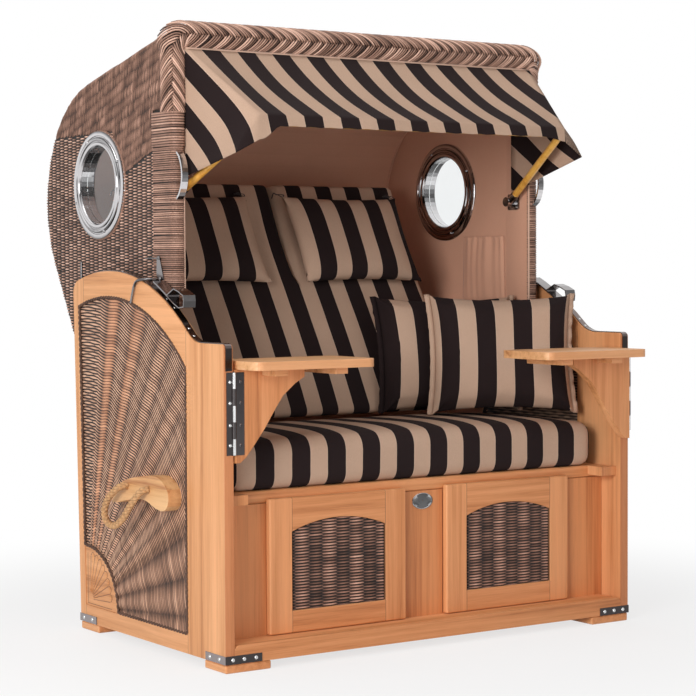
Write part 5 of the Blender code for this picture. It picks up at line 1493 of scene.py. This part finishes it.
def neck_pillow(side_name, middle_x, stand_off, stripes):
    """A pillow on the backrest cushion; stand_off is how far its middle stands in front."""
    size = (0.412, 0.292, 0.094)
    low, high = backrest_at(0.912), backrest_at(1.178)
    along = unit(high - low)
    out = np.array((-along[1], along[0]))
    centre = (low + high) / 2 + out * stand_off

    def place(p):
        spot = centre - out * p[1] * 0.94 + along * p[2] * PILLOW_FIT
        return np.array((middle_x + p[0] * PILLOW_FIT, spot[0], spot[1]))

    points, faces, uv = pillow_points(size, 0.008, 0.01, place, 48, 36)
    uv = [(u + middle_x, v) for u, v in uv]
    made = mesh_piece(side_name + "_neck_pillow_cover", points, [f[::-1] for f in faces], "hood",
                      stripes, uv=uv)
    inflate(made, PILLOW_PRESSURE, PILLOW_REACH)
    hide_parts(side_name + "_neck_pillow")
    pillow_ties(side_name, middle_x, place)


# Awning cloth

# Where the awning's first dark stripe begins
CLOTH_LEFT = -0.518


def awning_cloth():
    """The awning's roof, hem and side flaps, hung from the rim to the bar with their sag."""
    columns, rows, side_rows = 96, 24, 16
    top_y, top_z = RIM_Y - 0.003, RIM_LOW - 0.0033
    rim_half, hem_half, tip_half = 0.565, 0.492, 0.56
    hem_y, hem_z, hem_drop = 0.0858, 1.3685, 0.027
    points, uv, faces, grid = [], [], [], {}

    def roof(s, t):
        half = rim_half + (hem_half - rim_half) * t
        wave = 0.003 * math.sin(4 * math.pi * s) * t
        wrinkle = 0.0024 * math.sin(23 * s + 3.1 * t) * math.sin(math.pi * t) * math.sin(5.0 * s + 1.0)
        sag = 0.02 * math.sin(math.pi * t ** 0.85) * (math.sin(math.pi * s) ** 0.5 if 0 < s < 1 else 0)
        y = top_y + (hem_y - top_y) * t + wave + 0.004 * math.sin(math.pi * t) * math.sin(math.pi * s)
        z = top_z + (hem_z - top_z) * t - sag + wrinkle
        return np.array(((2 * s - 1) * half, y, z))

    def across_at(x, t):
        """The cloth is hung a little askew: its stripes move to the right towards the bar."""
        return CLOTH_LEFT + (x - CLOTH_LEFT - 0.05 * t) / (1 + 0.0215 * t)

    def put(key, place, across, along):
        grid[key] = len(points)
        points.append(place)
        uv.append((across, along))

    def sewn_across(place):
        """The right flap is a piece of its own, sewn on with its stripes running down towards the front."""
        return 0.4405 - (place[2] - 0.65 * place[1]) / 1.193

    def drop_at(x):
        """How far the hem hangs under the bar: further at its two ends."""
        share = min(1.0, max(0.0, (abs(x) - 0.425) / 0.065))
        return hem_drop + (0.036 if x < 0 else 0.01) * share * share * (3 - 2 * share)

    for j in range(rows + 1):
        for i in range(columns + 1):
            place = roof(i / columns, j / rows)
            put((i, j), place, across_at(place[0], j / rows), 0.3 * j / rows)
    for j in range(1, side_rows + 1):
        for i in range(columns + 1):
            place = roof(i / columns, 1)
            share = j / side_rows
            drop = drop_at(place[0]) * share
            wave = 0.0022 * math.sin(place[0] * 26) * share
            scallop = 0.0006 * math.sin(place[0] * 118) * share
            put((i, rows + j), place - (0, 0.002 * share + wave, drop + scallop),
                across_at(place[0], 1 + drop * 4.0), 0.3 + drop)
    for j in range(rows + side_rows):
        for i in range(columns):
            faces.append((grid[i, j], grid[i, j + 1], grid[i + 1, j + 1], grid[i + 1, j]))
    for side, column, tip_z in ((-1, 0, 1.274), (1, columns, 1.29)):
        flap = {}
        for j in range(-3, rows + 1):
            t = max(j, 0) / rows
            behind = max(0, -j) / 3
            edge = np.array(points[grid[column, max(j, 0)]])
            base = uv[grid[column, max(j, 0)]][0] - side * 0.026 * behind
            if j < 0:
                edge[1] = RIM_Y - 0.003 + (0.405 - RIM_Y + 0.003) * behind
                edge[0] -= side * 0.004
                put((column, j), edge.copy(), base, 0.0)
            low_x = side * (rim_half - 0.004 + (tip_half - rim_half) * t)
            low_z = 1.224 + (tip_z - 1.224) * t if j >= 0 else 1.224 + 0.006 * j
            flap[0, j] = grid[column, j]
            if side > 0:
                flap[0, j] = len(points)
                points.append(edge.copy())
                uv.append((sewn_across(edge), 0.3 * t))
            drop = edge[2] - low_z
            for k in range(1, side_rows + 1):
                share = k / side_rows
                ripple = 0.004 * math.sin(7 * t + 2.0 * share) * math.sin(math.pi * share) * t
                here = edge + ((low_x - edge[0]) * share + side * ripple, 0, (low_z - edge[2]) * share)
                flap[k, j] = len(points)
                points.append(here)
                uv.append((sewn_across(here) if side > 0 else base - 0.82 * drop * share, 0.3 * t))
        for j in range(-3, rows):
            for k in range(side_rows):
                corners = (flap[k, j], flap[k + 1, j], flap[k + 1, j + 1], flap[k, j + 1])
                faces.append(corners if side < 0 else corners[::-1])
        for k in range(side_rows):
            front = (grid[column, rows + k], grid[column, rows + k + 1])
            corners = (front[0], flap[k, rows], flap[k + 1, rows], front[1])
            if k == 0:
                corners = (front[0], flap[k + 1, rows], front[1])
            faces.append(corners if side < 0 else corners[::-1])
    made = mesh_piece("awning_cloth_cover", points, faces, None,
                      striped("awning_stripes", CLOTH_LEFT, width=0.0534), uv=uv)
    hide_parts("awning_cloth")
    thicken(made, 0.0016, 0)
    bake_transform(made)
    return made


# Awning frame, handles and other metal

# The brackets' inner faces
BRACKET_FACE = 0.5625


def awning_frame():
    """The bow's bar and arms, their ferrules and the brackets on the posts."""
    wood_batch, steel = Batch(), Batch()
    line = [(x, *AWNING_BAR) for x in np.linspace(-0.497, 0.497, 12)]
    wood_batch.add(*tube(line, 0.008, 16))
    for side in (-1, 1):
        low = np.array((side * 0.552, *AWNING_PIVOT))
        high = np.array((side * 0.49, *AWNING_BAR))
        way = unit(high - low)
        arm = [low + way * 0.012, low + (high - low) * 0.5, high + way * 0.006]
        wood_batch.add(*tube(arm, 0.01, 18))
        ferrule = [low - way * 0.004, low + way * 0.001, low + way * 0.04, low + way * 0.043]
        steel.add(*tube(ferrule, [0.0095, 0.0118, 0.0118, 0.0103], 18))
        out = np.array((side, 0, 0))
        for a, b, r in ((-0.016, 0.0155, 0.0135), (0.004, 0.015, 0.016)):
            steel.add(*tube([low + out * a, low + out * b], r, 18))
    made = wood_batch.make("awning_bow", "awning", ARM_WOOD, sharp=50, slot="arm_wood")
    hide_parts("awning_frame")
    steel.make("awning_ferrules", "awning", CHROME, sharp=45, slot="steel")
    plates = Batch()
    for side in (-1, 1):
        low, high = sorted((side * BRACKET_FACE, side * 0.5688))
        plates.add(*block((low, 0.376, 1.152), (high, 0.424, 1.198), 0.003))
        for dy, dz in ((-0.017, -0.016), (0.017, 0.016)):
            spot = (side * BRACKET_FACE, AWNING_PIVOT[0] + dy, AWNING_PIVOT[1] + dz)
            plates.add(*dome(spot, (-side, 0, 0), 0.0042, 0.0022))
    plates.make("awning_brackets", "hood", CHROME, sharp=40, slot="steel")


# Radius and height of the screws' heads, where they sit, and the hinges' barrel parts
LARGE_HEAD, SMALL_HEAD = (0.0052, 0.0026), (0.0042, 0.002)
PLATE_FACE, PLATE_MIDDLE = 0.6518, 0.033
HINGE_SCREWS = (0.557, 0.606, 0.66, 0.711)
HINGE_LOW, HINGE_PART = 0.533, 0.0404


def screws():
    """Screws, the portholes' nuts and the hinges' barrels."""
    base, hood, left, right = Batch(), Batch(), Batch(), Batch()
    for side_name, side in SIDES.items():
        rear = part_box(f"rear_{side_name}_corner_plate")[1].y - SHIFT_Y
        for end, places in ((-1, (0.028, 0.074)), (1, (rear - 0.024, rear - 0.072))):
            across = [dome((side * (HALF_WIDTH - dx), -0.0018 if end < 0 else rear, PLATE_MIDDLE),
                           (0, end, 0), *LARGE_HEAD) for dx in (0.02, 0.052, 0.086)]
            along = [dome((side * PLATE_FACE, y, PLATE_MIDDLE), (side, 0, 0), *LARGE_HEAD) for y in places]
            for head in across + along if end < 0 else along + across:
                base.add(*head)
        for angle in (-27, 62, 163, 250):
            turn = math.radians(angle)
            y = PORTHOLE[0] - 0.13 * math.sin(turn)
            z = PORTHOLE[1] + 0.13 * math.cos(turn)
            for x, out in ((side * 0.6062, side), (side * 0.5672, -side)):
                hood.add(*dome((x, y, z), (out, 0, 0), 0.0085, 0.002, 6, 1, slot=False))
                hood.add(*dome((x + out * 0.0015, y, z), (out, 0, 0), 0.0058, 0.0075, 14, 5, slot=False))
        for z in HINGE_SCREWS:
            base.add(*dome((-0.634 if side < 0 else 0.64, -0.0023, z), (0, -1, 0), *SMALL_HEAD))
    for z in HINGE_SCREWS:
        left.add(*dome((-0.606, -0.0057, z), (0, -1, 0), *SMALL_HEAD))
    left.add(*block((-0.6185, -0.0057, HINGE_LOW), (-0.596, -0.0043, 0.735), 0.0006))
    for x, table in ((-0.624, left), (0.65, right)):
        for k in range(5):
            low = HINGE_LOW + HINGE_PART * k
            batch = table if k % 2 else base
            batch.add(*tube([(x, -0.0043, low + 0.0006), (x, -0.0043, low + 0.0398)], 0.0046, 14))
    base.make("base_screws", "base", BRIGHT, sharp=45, slot="steel")
    hood.make("porthole_nuts", "hood", CHROME, sharp=45, slot="steel")
    left.make("left_hinge_parts", "left_table", PLATE_STEEL, sharp=45, slot="steel")
    right.make("right_hinge_parts", "right_table", PLATE_STEEL, sharp=45, slot="steel")


def badge():
    """A bare oval plate between the footrests."""
    batch = Batch()
    rings = [(1.0, 0.0), (1.0, 0.0016), (0.965, 0.0024), (0.9, 0.0024), (0.875, 0.0017), (0.5, 0.0021),
             (0.04, 0.0023)]
    turns = circle(48)
    points = [(0.033 * r * math.cos(a), 0.08 - 0.0003 - h, 0.372 + 0.0215 * r * math.sin(a))
              for r, h in rings for a in turns]
    batch.add(points, net(len(rings), 48, True))
    batch.make("bare_badge", "base", BRUSHED, sharp=50, slot="steel")


def piping():
    """Light cord along the posts' inner front edges and under the rim, with the cloth behind it."""
    batch = Batch()
    for side in (-1, 1):
        x, y = side * (POST_INNER - 0.0012), RIM_Y + 0.0035
        batch.add(*tube([(x, y, z) for z in np.linspace(POST_FOOT + 0.002, 1.222, 24)], 0.003, 8))
    batch.add(*tube([(x, RIM_Y - 0.0005, RIM_LOW - 0.0035) for x in np.linspace(-0.562, 0.562, 40)],
                    0.004, 8, squash=1.2))
    batch.make("post_piping", "hood", LINING_PALE, slot="lining")
    cloth = Batch()
    for side in (-1, 1):
        low, high = sorted((side * (POST_INNER - 0.0004), side * (POST_INNER + 0.001)))
        cloth.add(*block((low, RIM_Y + 0.006, POST_FOOT + 0.001), (high, POST_REAR + 0.001, RIM_LOW),
                         0.0003))
    cloth.add(*block((-POST_INNER, RIM_Y + 0.004, RIM_LOW + 0.0002),
                     (POST_INNER, RIM_REAR - 0.001, RIM_LOW + 0.0022), 0.0003))
    cloth.make("post_cloth", "hood", LINING, slot="lining")


def lining_seams():
    """The corded seams where the lining's side walls meet its roof and back."""
    tree = tree_of("hood_lining")
    batch = Batch()
    for side in (-1, 1):
        x = side * (LINING_INNER - 0.006)
        line = []
        for angle in np.linspace(math.radians(122), math.radians(-40), 90):
            way = (0, math.cos(angle), math.sin(angle))
            found = hit(tree, (x, *HOOD_CENTRE), way)
            if found is not None:
                place, normal = found
                line.append(place + normal * 0.0012)
        line, _ = resampled(np.array(line), 0.01)
        batch.add(*tube(line, 0.0022, 6))
    batch.make("lining_seams", "hood", LINING, slot="lining")


def wall_pocket():
    """The gathered cloth pocket on the right inner wall."""
    columns, rows = 60, 26
    y0, y1, z0, z1 = 0.448, 0.652, 0.885, 1.078
    points = []
    for j in range(rows + 1):
        for i in range(columns + 1):
            s, t = i / columns, j / rows
            gather = 0.5 * math.sin(s * 37 + 1.3 * math.sin(s * 9)) + 0.5 * math.sin(s * 17 + 0.6)
            belly = 0.006 * math.sin(math.pi * t) * math.sin(math.pi * s)
            depth = 0.004 + 0.0042 * gather * (0.35 + 0.65 * t ** 3) + belly
            if t > 0.93:
                depth += 0.0015 * math.sin(s * 120)
            edge = min(s, 1 - s) / 0.04
            depth *= min(1, edge) * min(1, t / 0.05)
            y = y0 + (y1 - y0) * s - 0.012 * (s - 0.5) * t
            points.append((LINING_INNER - 0.0006 - max(depth, 0.0003), y, z0 + (z1 - z0) * t))
    faces = net(rows + 1, columns + 1)[:, REVERSED]
    made = mesh_piece("wall_pocket", points, faces, "hood", LINING)
    thicken(made, 0.0012, 1)


def latch_parts():
    """Plates, hooked rods and pins at each latch."""
    steel = Batch()
    for side in (-1, 1):
        near, far = side * 0.6034, side * 0.6054
        plate = [(0.377, 0.957), (0.416, 0.955), (0.4135, 1.017), (0.4, 1.019)]
        points = [(x, y, z) for x in (near, far) for y, z in plate]
        faces = [(3, 2, 1, 0), (4, 5, 6, 7)] + [(k, (k + 1) % 4, (k + 1) % 4 + 4, k + 4)
                                                for k in range(4)]
        steel.add(np.array(points), np.array(faces))
        line = [(side * 0.6062, 0.3925, 0.9585), (side * 0.624, 0.3935, 0.959),
                (side * 0.642, 0.399, 0.9595), (side * 0.653, 0.414, 0.958),
                (side * 0.656, 0.43, 0.9545), (side * 0.656, 0.443, 0.943),
                (side * 0.656, 0.452, 0.925), (side * 0.656, 0.462, 0.898)]
        steel.add(*tube(smooth_line(line, 5), 0.0036, 10))
        steel.add(*dome((side * 0.6085, 0.3925, 0.9585), (side, 0, 0), 0.006, 0.0045))
        line = [(side * 0.6065, 0.392, 1.012), (side * 0.607, 0.43, 1.014),
                (side * 0.607, 0.47, 1.013)]
        steel.add(*tube(smooth_line(line, 4), 0.0022, 8))
        line = [(side * 0.6055, 0.847, 0.96), (side * 0.6055, 0.8465, 1.006)]
        steel.add(*tube(line, 0.0034, 8))
    steel.make("latch_bars", "hood", LATCH_STEEL, sharp=45, slot="steel")


def porthole_bezels():
    """Stepped chrome rings on the portholes' flanges, outside and inside."""
    profile = [(0.1462, 0.0), (0.1462, 0.0018), (0.144, 0.0028), (0.1345, 0.003), (0.1328, 0.0014),
               (0.1312, 0.0014), (0.13, 0.0052), (0.1268, 0.007), (0.1225, 0.0062), (0.1205, 0.003),
               (0.1182, 0.0026), (0.116, 0.0056), (0.112, 0.0066), (0.108, 0.0058), (0.1046, 0.002),
               (0.1042, 0.0)]
    turns = circle(96)
    for side_name, side in SIDES.items():
        batch = Batch()
        low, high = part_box(side_name + "_porthole_ring")
        outer = max(abs(low.x), abs(high.x))
        inner = min(abs(low.x), abs(high.x))
        for face, out in ((side * (outer + 0.0001), side), (side * (inner - 0.0001), -side)):
            rings = []
            for r, rise in profile:
                x = np.full(len(turns), face + out * rise)
                rings.append(np.stack([x, PORTHOLE[0] + r * np.cos(turns),
                                       PORTHOLE[1] + r * np.sin(turns)], 1))
            faces = net(len(profile), len(turns), True)
            batch.add(np.concatenate(rings), faces if out > 0 else faces[:, ::-1])
        batch.make(side_name + "_porthole_bezel", "hood", RING_STEEL, sharp=35, slot="steel")


# Base: carved corners, ropes, rail

def fan_rays(side_name, side):
    """Tapered petals carved in the rear lower corner, with the cut lines round them painted dark as the shade
    in their grooves.
    """
    batch, cuts = Batch(), Batch()
    corner = np.array((0.726, 0.088))
    face = side * 0.6487
    petals = 8
    for k in range(petals + 1):
        angle = math.radians(3 + 84 * k / petals)
        way = np.array((-math.cos(angle), math.sin(angle)))
        line = [(face, *(corner + way * r)) for r in np.linspace(0.02, 0.118, 12)]
        ribbon(cuts, np.array(line), np.tile((side, 0, 0), (12, 1)), np.linspace(0.0012, 0.0024, 12),
               0.0002, 0.1)
    step = math.radians(84 / petals)
    for k in range(petals):
        angle = math.radians(3) + step * (k + 0.5)
        way = np.array((-math.cos(angle), math.sin(angle)))
        square = np.array((way[1], -way[0]))
        points, count = [], 14
        for i in range(count + 1):
            t = i / count
            r = 0.022 + 0.106 * t
            end = 1.0 if t < 0.86 else math.sqrt(max(0.0, 1 - ((t - 0.86) / 0.14) ** 2))
            half = (r * math.tan(step / 2) - 0.001) * max(end, 0.05)
            for s, rise in ((-1, 0), (-0.62, 0.0012), (0, 0.0019), (0.62, 0.0012), (1, 0)):
                points.append((face + side * rise, *(corner + way * r + square * half * s)))
        faces = net(count + 1, 5)
        batch.add(points, faces if side > 0 else faces[:, ::-1])
        arc = []
        for t in np.linspace(-1, 1, 9):
            a = angle + step * 0.47 * t
            r = 0.1305 - 0.0095 * t * t
            arc.append((face, corner[0] - r * math.cos(a), corner[1] + r * math.sin(a)))
        ribbon(cuts, np.array(arc), np.tile((side, 0, 0), (9, 1)), 0.002, 0.0002, 0.1)
    for line in ([(face, 0.738, z) for z in np.linspace(0.076, 0.214, 8)],
                 [(face, y, 0.076) for y in np.linspace(0.738, 0.6, 8)]):
        ribbon(cuts, np.array(line), np.tile((side, 0, 0), (8, 1)), 0.0018, 0.0002, 0.1)
    batch.make(side_name + "_fan_rays", "base", FAN_WOOD, slot="teak")
    cuts.make(side_name + "_fan_cuts", "base", CUT_WOOD, slot="teak")


ROPE_ROUTE = [
    (0.001, 0.436, 0.425), (0.012, 0.436, 0.425), (0.0215, 0.44, 0.423), (0.0265, 0.4545, 0.414),
    (0.028, 0.474, 0.402), (0.029, 0.492, 0.387), (0.029, 0.507, 0.367), (0.029, 0.511, 0.347),
    (0.029, 0.5, 0.33), (0.029, 0.481, 0.322), (0.029, 0.461, 0.321), (0.029, 0.443, 0.325),
    (0.029, 0.427, 0.333), (0.0285, 0.411, 0.343), (0.028, 0.396, 0.356), (0.027, 0.377, 0.376),
    (0.026, 0.36, 0.391), (0.0245, 0.345, 0.4045), (0.0205, 0.329, 0.419), (0.012, 0.322, 0.425),
    (0.001, 0.322, 0.425),
]


def carrying_rope(side_name, side):
    """Three strands laid round the loop's route."""
    face = HALF_WIDTH - 0.004 + CLEARANCE + 0.038
    route = smooth_line([(side * (face + out), y, z) for out, y, z in ROPE_ROUTE], 6)
    line, reach = resampled(route, 0.0022)
    ahead = unit(np.gradient(line, axis=0))
    first = unit(np.cross(ahead, (0.2, 0.9, 0.3)))
    side_way = [first[0]]
    for way in ahead[1:]:
        here = side_way[-1] - way * (side_way[-1] @ way)
        side_way.append(unit(here))
    side_way = np.array(side_way)
    other = np.cross(ahead, side_way)
    batch = Batch()
    for strand in range(3):
        turn = reach / 0.043 * 2 * math.pi + 2 * math.pi * strand / 3
        centre = line + 0.0046 * (np.cos(turn)[:, None] * side_way + np.sin(turn)[:, None] * other)
        points, faces = tube(centre, 0.0049, 12)
        around = np.arange(len(points)) % 12
        tone = 0.55 - 0.12 * np.cos(np.arange(len(points)) // 12 * 1.7) + 0.1 * np.cos(around * 2.1)
        batch.add(points, faces, tone)
    made = batch.make(side_name + "_carrying_rope", "base", ROPE, slot="rope")
    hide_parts(side_name + "_carry_rope")
    path = line.copy()
    path[:, 1] += SHIFT_Y
    tuple(path[0])
    return made


def rail_holes():
    """Screws along the arms' rails."""
    batch = Batch()
    for side_name, side in SIDES.items():
        x = side * (INNER_HALF + HALF_WIDTH) / 2
        tree = tree_of(side_name + "_arm_rail")
        for y in (0.165, 0.19, 0.262, 0.3, 0.42, 0.54, 0.65):
            found = hit(tree, (x, y, 1.2), (0, 0, -1))
            if found:
                batch.add(*dome(found[0], found[1], 0.0036, 0.0014))
    batch.make("rail_screws", "base", BRIGHT, sharp=45, slot="steel")


def panel_boards():
    """Narrow cover strips and board edges on the front panel."""
    batch = Batch()
    for x in (-0.066, 0.066):
        batch.add(*block((x - 0.0006, 0.0795, 0.07), (x + 0.0006, 0.0801, 0.398), 0.0002))
    batch.make("panel_lines", "base", DARK_WOOD, slot="teak")


# The CAD nodes that show

def dress(name, material, bevel=0.0):
    """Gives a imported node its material, and rounds its edges a little if asked."""
    made = nodes[name]
    if not made.material_slots:
        made.data.materials.append(material)
    for slot in made.material_slots:
        slot.material = material
    if bevel:
        weld = made.modifiers.new("weld", "WELD")
        weld.merge_threshold = 0.00002
        cut = made.modifiers.new("soft_edges", "BEVEL")
        cut.width = bevel
        cut.segments = 2
        cut.limit_method = "ANGLE"
        cut.angle_limit = math.radians(38)
        cut.harden_normals = True


def dress_nodes():
    """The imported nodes' own materials."""
    sides = {"left": {}, "right": dict(pale=(0.76, 0.385, 0.18), mid=(0.62, 0.285, 0.12))}
    frame_wood = {side: wood(f"{side}_side_wood", "y", offset=(k * 3.3, 0, k * 1.7),
                             upright_where=side_frame_uprights, joints=[("y", y) for y in SIDE_UPRIGHTS],
                             front_where=front_board, **sides[side]) for k, side in enumerate(SIDES)}
    plain_parts = (("fan_corner", FAN_WOOD, 0.0008), ("arm_rail", DIM_REFLECTION_STEEL, 0),
                   ("hinge_leaf", PLATE_STEEL, 0), ("porthole_ring", CHROME, 0),
                   ("porthole_glass", GLASS, 0), ("footrest_wicker", SHADE_BACKING, 0),
                   ("grab_handle", CHROME, 0.0012), ("latch_loop", LATCH_STEEL, 0.0008),
                   ("pivot_arm", BRUSHED, 0.001))
    light = dict(pale=(0.84, 0.5, 0.27), mid=(0.73, 0.4, 0.185))
    for k, side in enumerate(SIDES):
        dress(side + "_side_frame", frame_wood[side], 0.0022)
        dress(side + "_carry_block", wood(side + "_block_wood", "y", (0.8, 0.5, 0.25), (0.7, 0.4, 0.18),
                                          offset=(k, 2.0, 0)), 0.004)
        dress(side + "_wicker_panel", panel_backing(side + "_panel_backing", SIDES[side]))
        for end in ("front", "rear"):
            dress(f"{end}_{side}_foot", wood(f"{end}_{side}_foot_wood", "y", offset=(k * 2, 5, k)),
                  0.002)
            dress(f"{end}_{side}_corner_plate", PLATE_STEEL)
        for part, material, bevel in plain_parts:
            dress(f"{side}_{part}", material, bevel)
        dress(side + "_table_top", wood(side + "_table_wood", "x", offset=(k * 1.3, 4.1, 2 * k),
                                        **light), 0.0022)
        dress(side + "_table_bracket", wood(side + "_bracket_wood", "z", offset=(k * 4.3, 1.1, k)),
              0.0022)
        middle = SIDES[side] * FOOTREST_MIDDLE
        dress(side + "_footrest_front",
              wood(side + "_footrest_wood", "x", offset=(3 * k, 2.2, 1.5 * k),
                   upright_where=footrest_uprights(middle),
                   joints=(("x", middle - FOOTREST_INNER), ("x", middle + FOOTREST_INNER))), 0.0026)
        dress(side + "_footrest_box", wood(side + "_footrest_box_wood", "y", offset=(k, 1.2, 3 * k)),
              0.001)
    dress("front_sill", wood("sill_wood", "x", offset=(0.7, 0.2, 4)), 0.0025)
    dress("front_panel", wood("panel_wood", "z", offset=(6.1, 0.9, 0.2), pale=(0.72, 0.35, 0.15),
                              mid=(0.58, 0.255, 0.1), boards=("x", 0.081)), 0.001)
    for name, wood_name, offset, bevel in (("seat_rail", "rail_wood", (2.7, 3.2, 1), 0.002),
                                           ("seat_deck", "deck_wood", (1.7, 1.2, 2), 0),
                                           ("base_floor", "floor_wood", (5.7, 0.2, 2), 0),
                                           ("back_panel", "back_wood", (3.7, 2.2, 5), 0.001)):
        dress(name, wood(wood_name, "x", offset=offset), bevel)
    dress("hood_shell", SHADE_BACKING)
    dress("hood_lining", LINING)
    dress("back_board", LINING)


# What the lamps look at
LAMPS_AIM = Vector((0, 0, 0.8))


def add_stage():
    """A pale floor that turns white further out, a white studio and four lamps."""
    mesh = bpy.data.meshes.new("floor")
    size = 30.0
    mesh.from_pydata([(-size, -size, 0), (size, -size, 0), (size, size, 0), (-size, size, 0)], [],
                     [(0, 1, 2, 3)])
    floor = bpy.data.objects.new("floor", mesh)
    scene.collection.objects.link(floor)
    made = Shader("pale_floor")
    grain = made.noise(made.place((3, 3, 3)), 1.0, 2.0)
    made.set(Base_Color=made.mix(grain, (0.86, 0.86, 0.86), (0.88, 0.88, 0.88)), Roughness=0.9)
    spot = made.place_parts()
    away = made.math("SQRT", spot[0] * spot[0] + spot[1] * spot[1])
    far = made.read("MapRange", 0, {"Value": away, "From Min": 0.9, "From Max": 2.1, "To Min": 0.72,
                                    "To Max": 1.0}, interpolation_type="SMOOTHSTEP")
    glow = made.read("Emission", 0, {"Color": (1, 1, 1, 1), "Strength": 1.0})
    blend = made.read("MixShader", 0,
                      {0: made.seen() * far, 1: Value(made, made.surface.outputs[0]), 2: glow})
    made.feed(made.tree.nodes["Material Output"].inputs["Surface"], blend)
    mesh.materials.append(made.material)
    world = bpy.data.worlds.new("studio")
    scene.world = world
    world.use_nodes = True
    studio = Nodes(world.node_tree)
    back = studio.tree.nodes["Background"]
    back.inputs["Color"].default_value = (1, 1, 1, 1)
    level = studio.read("MapRange", 0, {"Value": studio.seen(), "To Min": 0.32, "To Max": 1.0})
    studio.feed(back.inputs["Strength"], level)
    lamps = [("key", (-4.6, -2.8, 1.8), 2.0, 168), ("fill", (-0.6, -5.4, 1.3), 2.4, 24),
             ("top", (-0.4, -0.6, 4.4), 2.6, 42), ("rear", (0.8, 4.6, 2.4), 2.6, 42)]
    for name, place, size, energy in lamps:
        data = bpy.data.lights.new(name, "AREA")
        data.shape = "SQUARE"
        data.size = size
        data.energy = energy
        lamp = bpy.data.objects.new(name, data)
        lamp.location = place
        lamp.rotation_mode = "QUATERNION"
        lamp.rotation_quaternion = (LAMPS_AIM - Vector(place)).to_track_quat("-Z", "Y")
        scene.collection.objects.link(lamp)
    scene.view_settings.view_transform = "Standard"


WICKER = wicker("wicker_hood", (1.02, 0.84, 0.78))
WICKER_SIDE = wicker("wicker_side", (0.93, 0.73, 0.6))
WICKER_PALE = wicker("wicker_footrest", (1.08, 0.83, 0.76))
# Near black: painted shade for the gaps behind the strands, on the hood's shell, the footrests' wicker and
# the frame's core.
SHADE_BACKING = plain_cloth("wicker_shade_backing", (0.008, 0.005, 0.004), (0.014, 0.009, 0.007))
LINING = plain_cloth("lining_cloth", (0.64, 0.33, 0.215), (0.7, 0.38, 0.255))
LINING_PALE = plain_cloth("piping_cloth", (0.66, 0.42, 0.31), (0.72, 0.48, 0.36))
DARK_CLOTH = plain_cloth("tie_cloth", (0.035, 0.024, 0.024), (0.05, 0.034, 0.034))
CHROME = metal("chrome", (0.78, 0.76, 0.77), 0.12)
# A darkened copy of the steel: its low colour paints the dark reflections of the latches.
LATCH_STEEL = metal("latch_steel", (0.32, 0.3, 0.3), 0.12)
RING_STEEL = metal("ring_steel", (0.74, 0.72, 0.73), 0.1)
BRIGHT = metal("bright_steel", (0.62, 0.62, 0.62), 0.16, painted_reflections=False)
BRUSHED = metal("brushed_steel", (0.66, 0.66, 0.67), 0.24)
# A darkened copy of the steel: its low colour paints the dark reflections of the arm rails.
DIM_REFLECTION_STEEL = metal("dim_reflection_steel", (0.22, 0.18, 0.17), 0.16)
# A darkened copy of the steel: its low colour paints the dark reflections of the hinges and corner plates.
PLATE_STEEL = metal("plate_steel", (0.38, 0.34, 0.34), 0.14)
GLASS = clear_glass("porthole_glass")
ROPE = fibre("rope_fibre", (0.11, 0.048, 0.018), (0.76, 0.44, 0.21))
ARM_WOOD = wood("bow_wood", "x", pale=(0.88, 0.52, 0.12), mid=(0.8, 0.42, 0.075),
                deep=(0.58, 0.26, 0.04), shine=0.3)
FAN_WOOD = wood("fan_wood", "y", offset=(9.1, 2.0, 1.1))
# Dark wood for the fan's cut lines: painted shade in the carved grooves.
CUT_WOOD = wood("cut_wood", "y", pale=(0.3, 0.13, 0.055), mid=(0.22, 0.09, 0.036),
                deep=(0.14, 0.05, 0.02))
DARK_WOOD = wood("joint_shadow", "z", pale=(0.12, 0.055, 0.025), mid=(0.09, 0.04, 0.02),
                 deep=(0.05, 0.02, 0.01))


def main():
    add_camera()
    for side_name, side in SIDES.items():
        carrying_rope(side_name, side)
    dress_nodes()
    shell = tree_of("hood_shell")
    for side_name, side in SIDES.items():
        hood_side(side_name, side, shell)
        base_panel(side_name, side)
        footrest_panel(side_name, side)
        fan_rays(side_name, side)
        wrapped_post(side).make(side_name + "_post_wrap", "hood", WICKER, slot="wicker")
    hood_back(shell)
    rim_back(braid()).make("rim_braid", "hood", WICKER, slot="wicker")
    core = Batch()
    front_frame_core(core)
    made = core.make("front_frame_core", "hood", SHADE_BACKING, sharp=40, slot="wicker")
    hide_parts("hood_front_frame")
    seat_cushion()
    back_cushion()
    throw = striped("throw_stripes", -0.195)
    throw_pillow("front_throw_cover", "front_throw_pillow", 0.394, 0.234, math.radians(27),
                 math.radians(8), throw)
    throw = striped("back_throw_stripes", -0.223)
    throw_pillow("back_throw_cover", "back_throw_pillow", 0.318, 0.373, math.radians(19),
                 math.radians(14), throw)
    neck_pillow("left", -0.326, 0.0498, striped("left_neck_stripes", -0.2314))
    neck_pillow("right", 0.196, 0.0508, striped("right_neck_stripes", 0.0345, width=0.0548))
    awning_cloth()
    awning_frame()
    screws()
    badge()
    piping()
    lining_seams()
    wall_pocket()
    latch_parts()
    porthole_bezels()
    rail_holes()
    panel_boards()
    add_stage()


main()
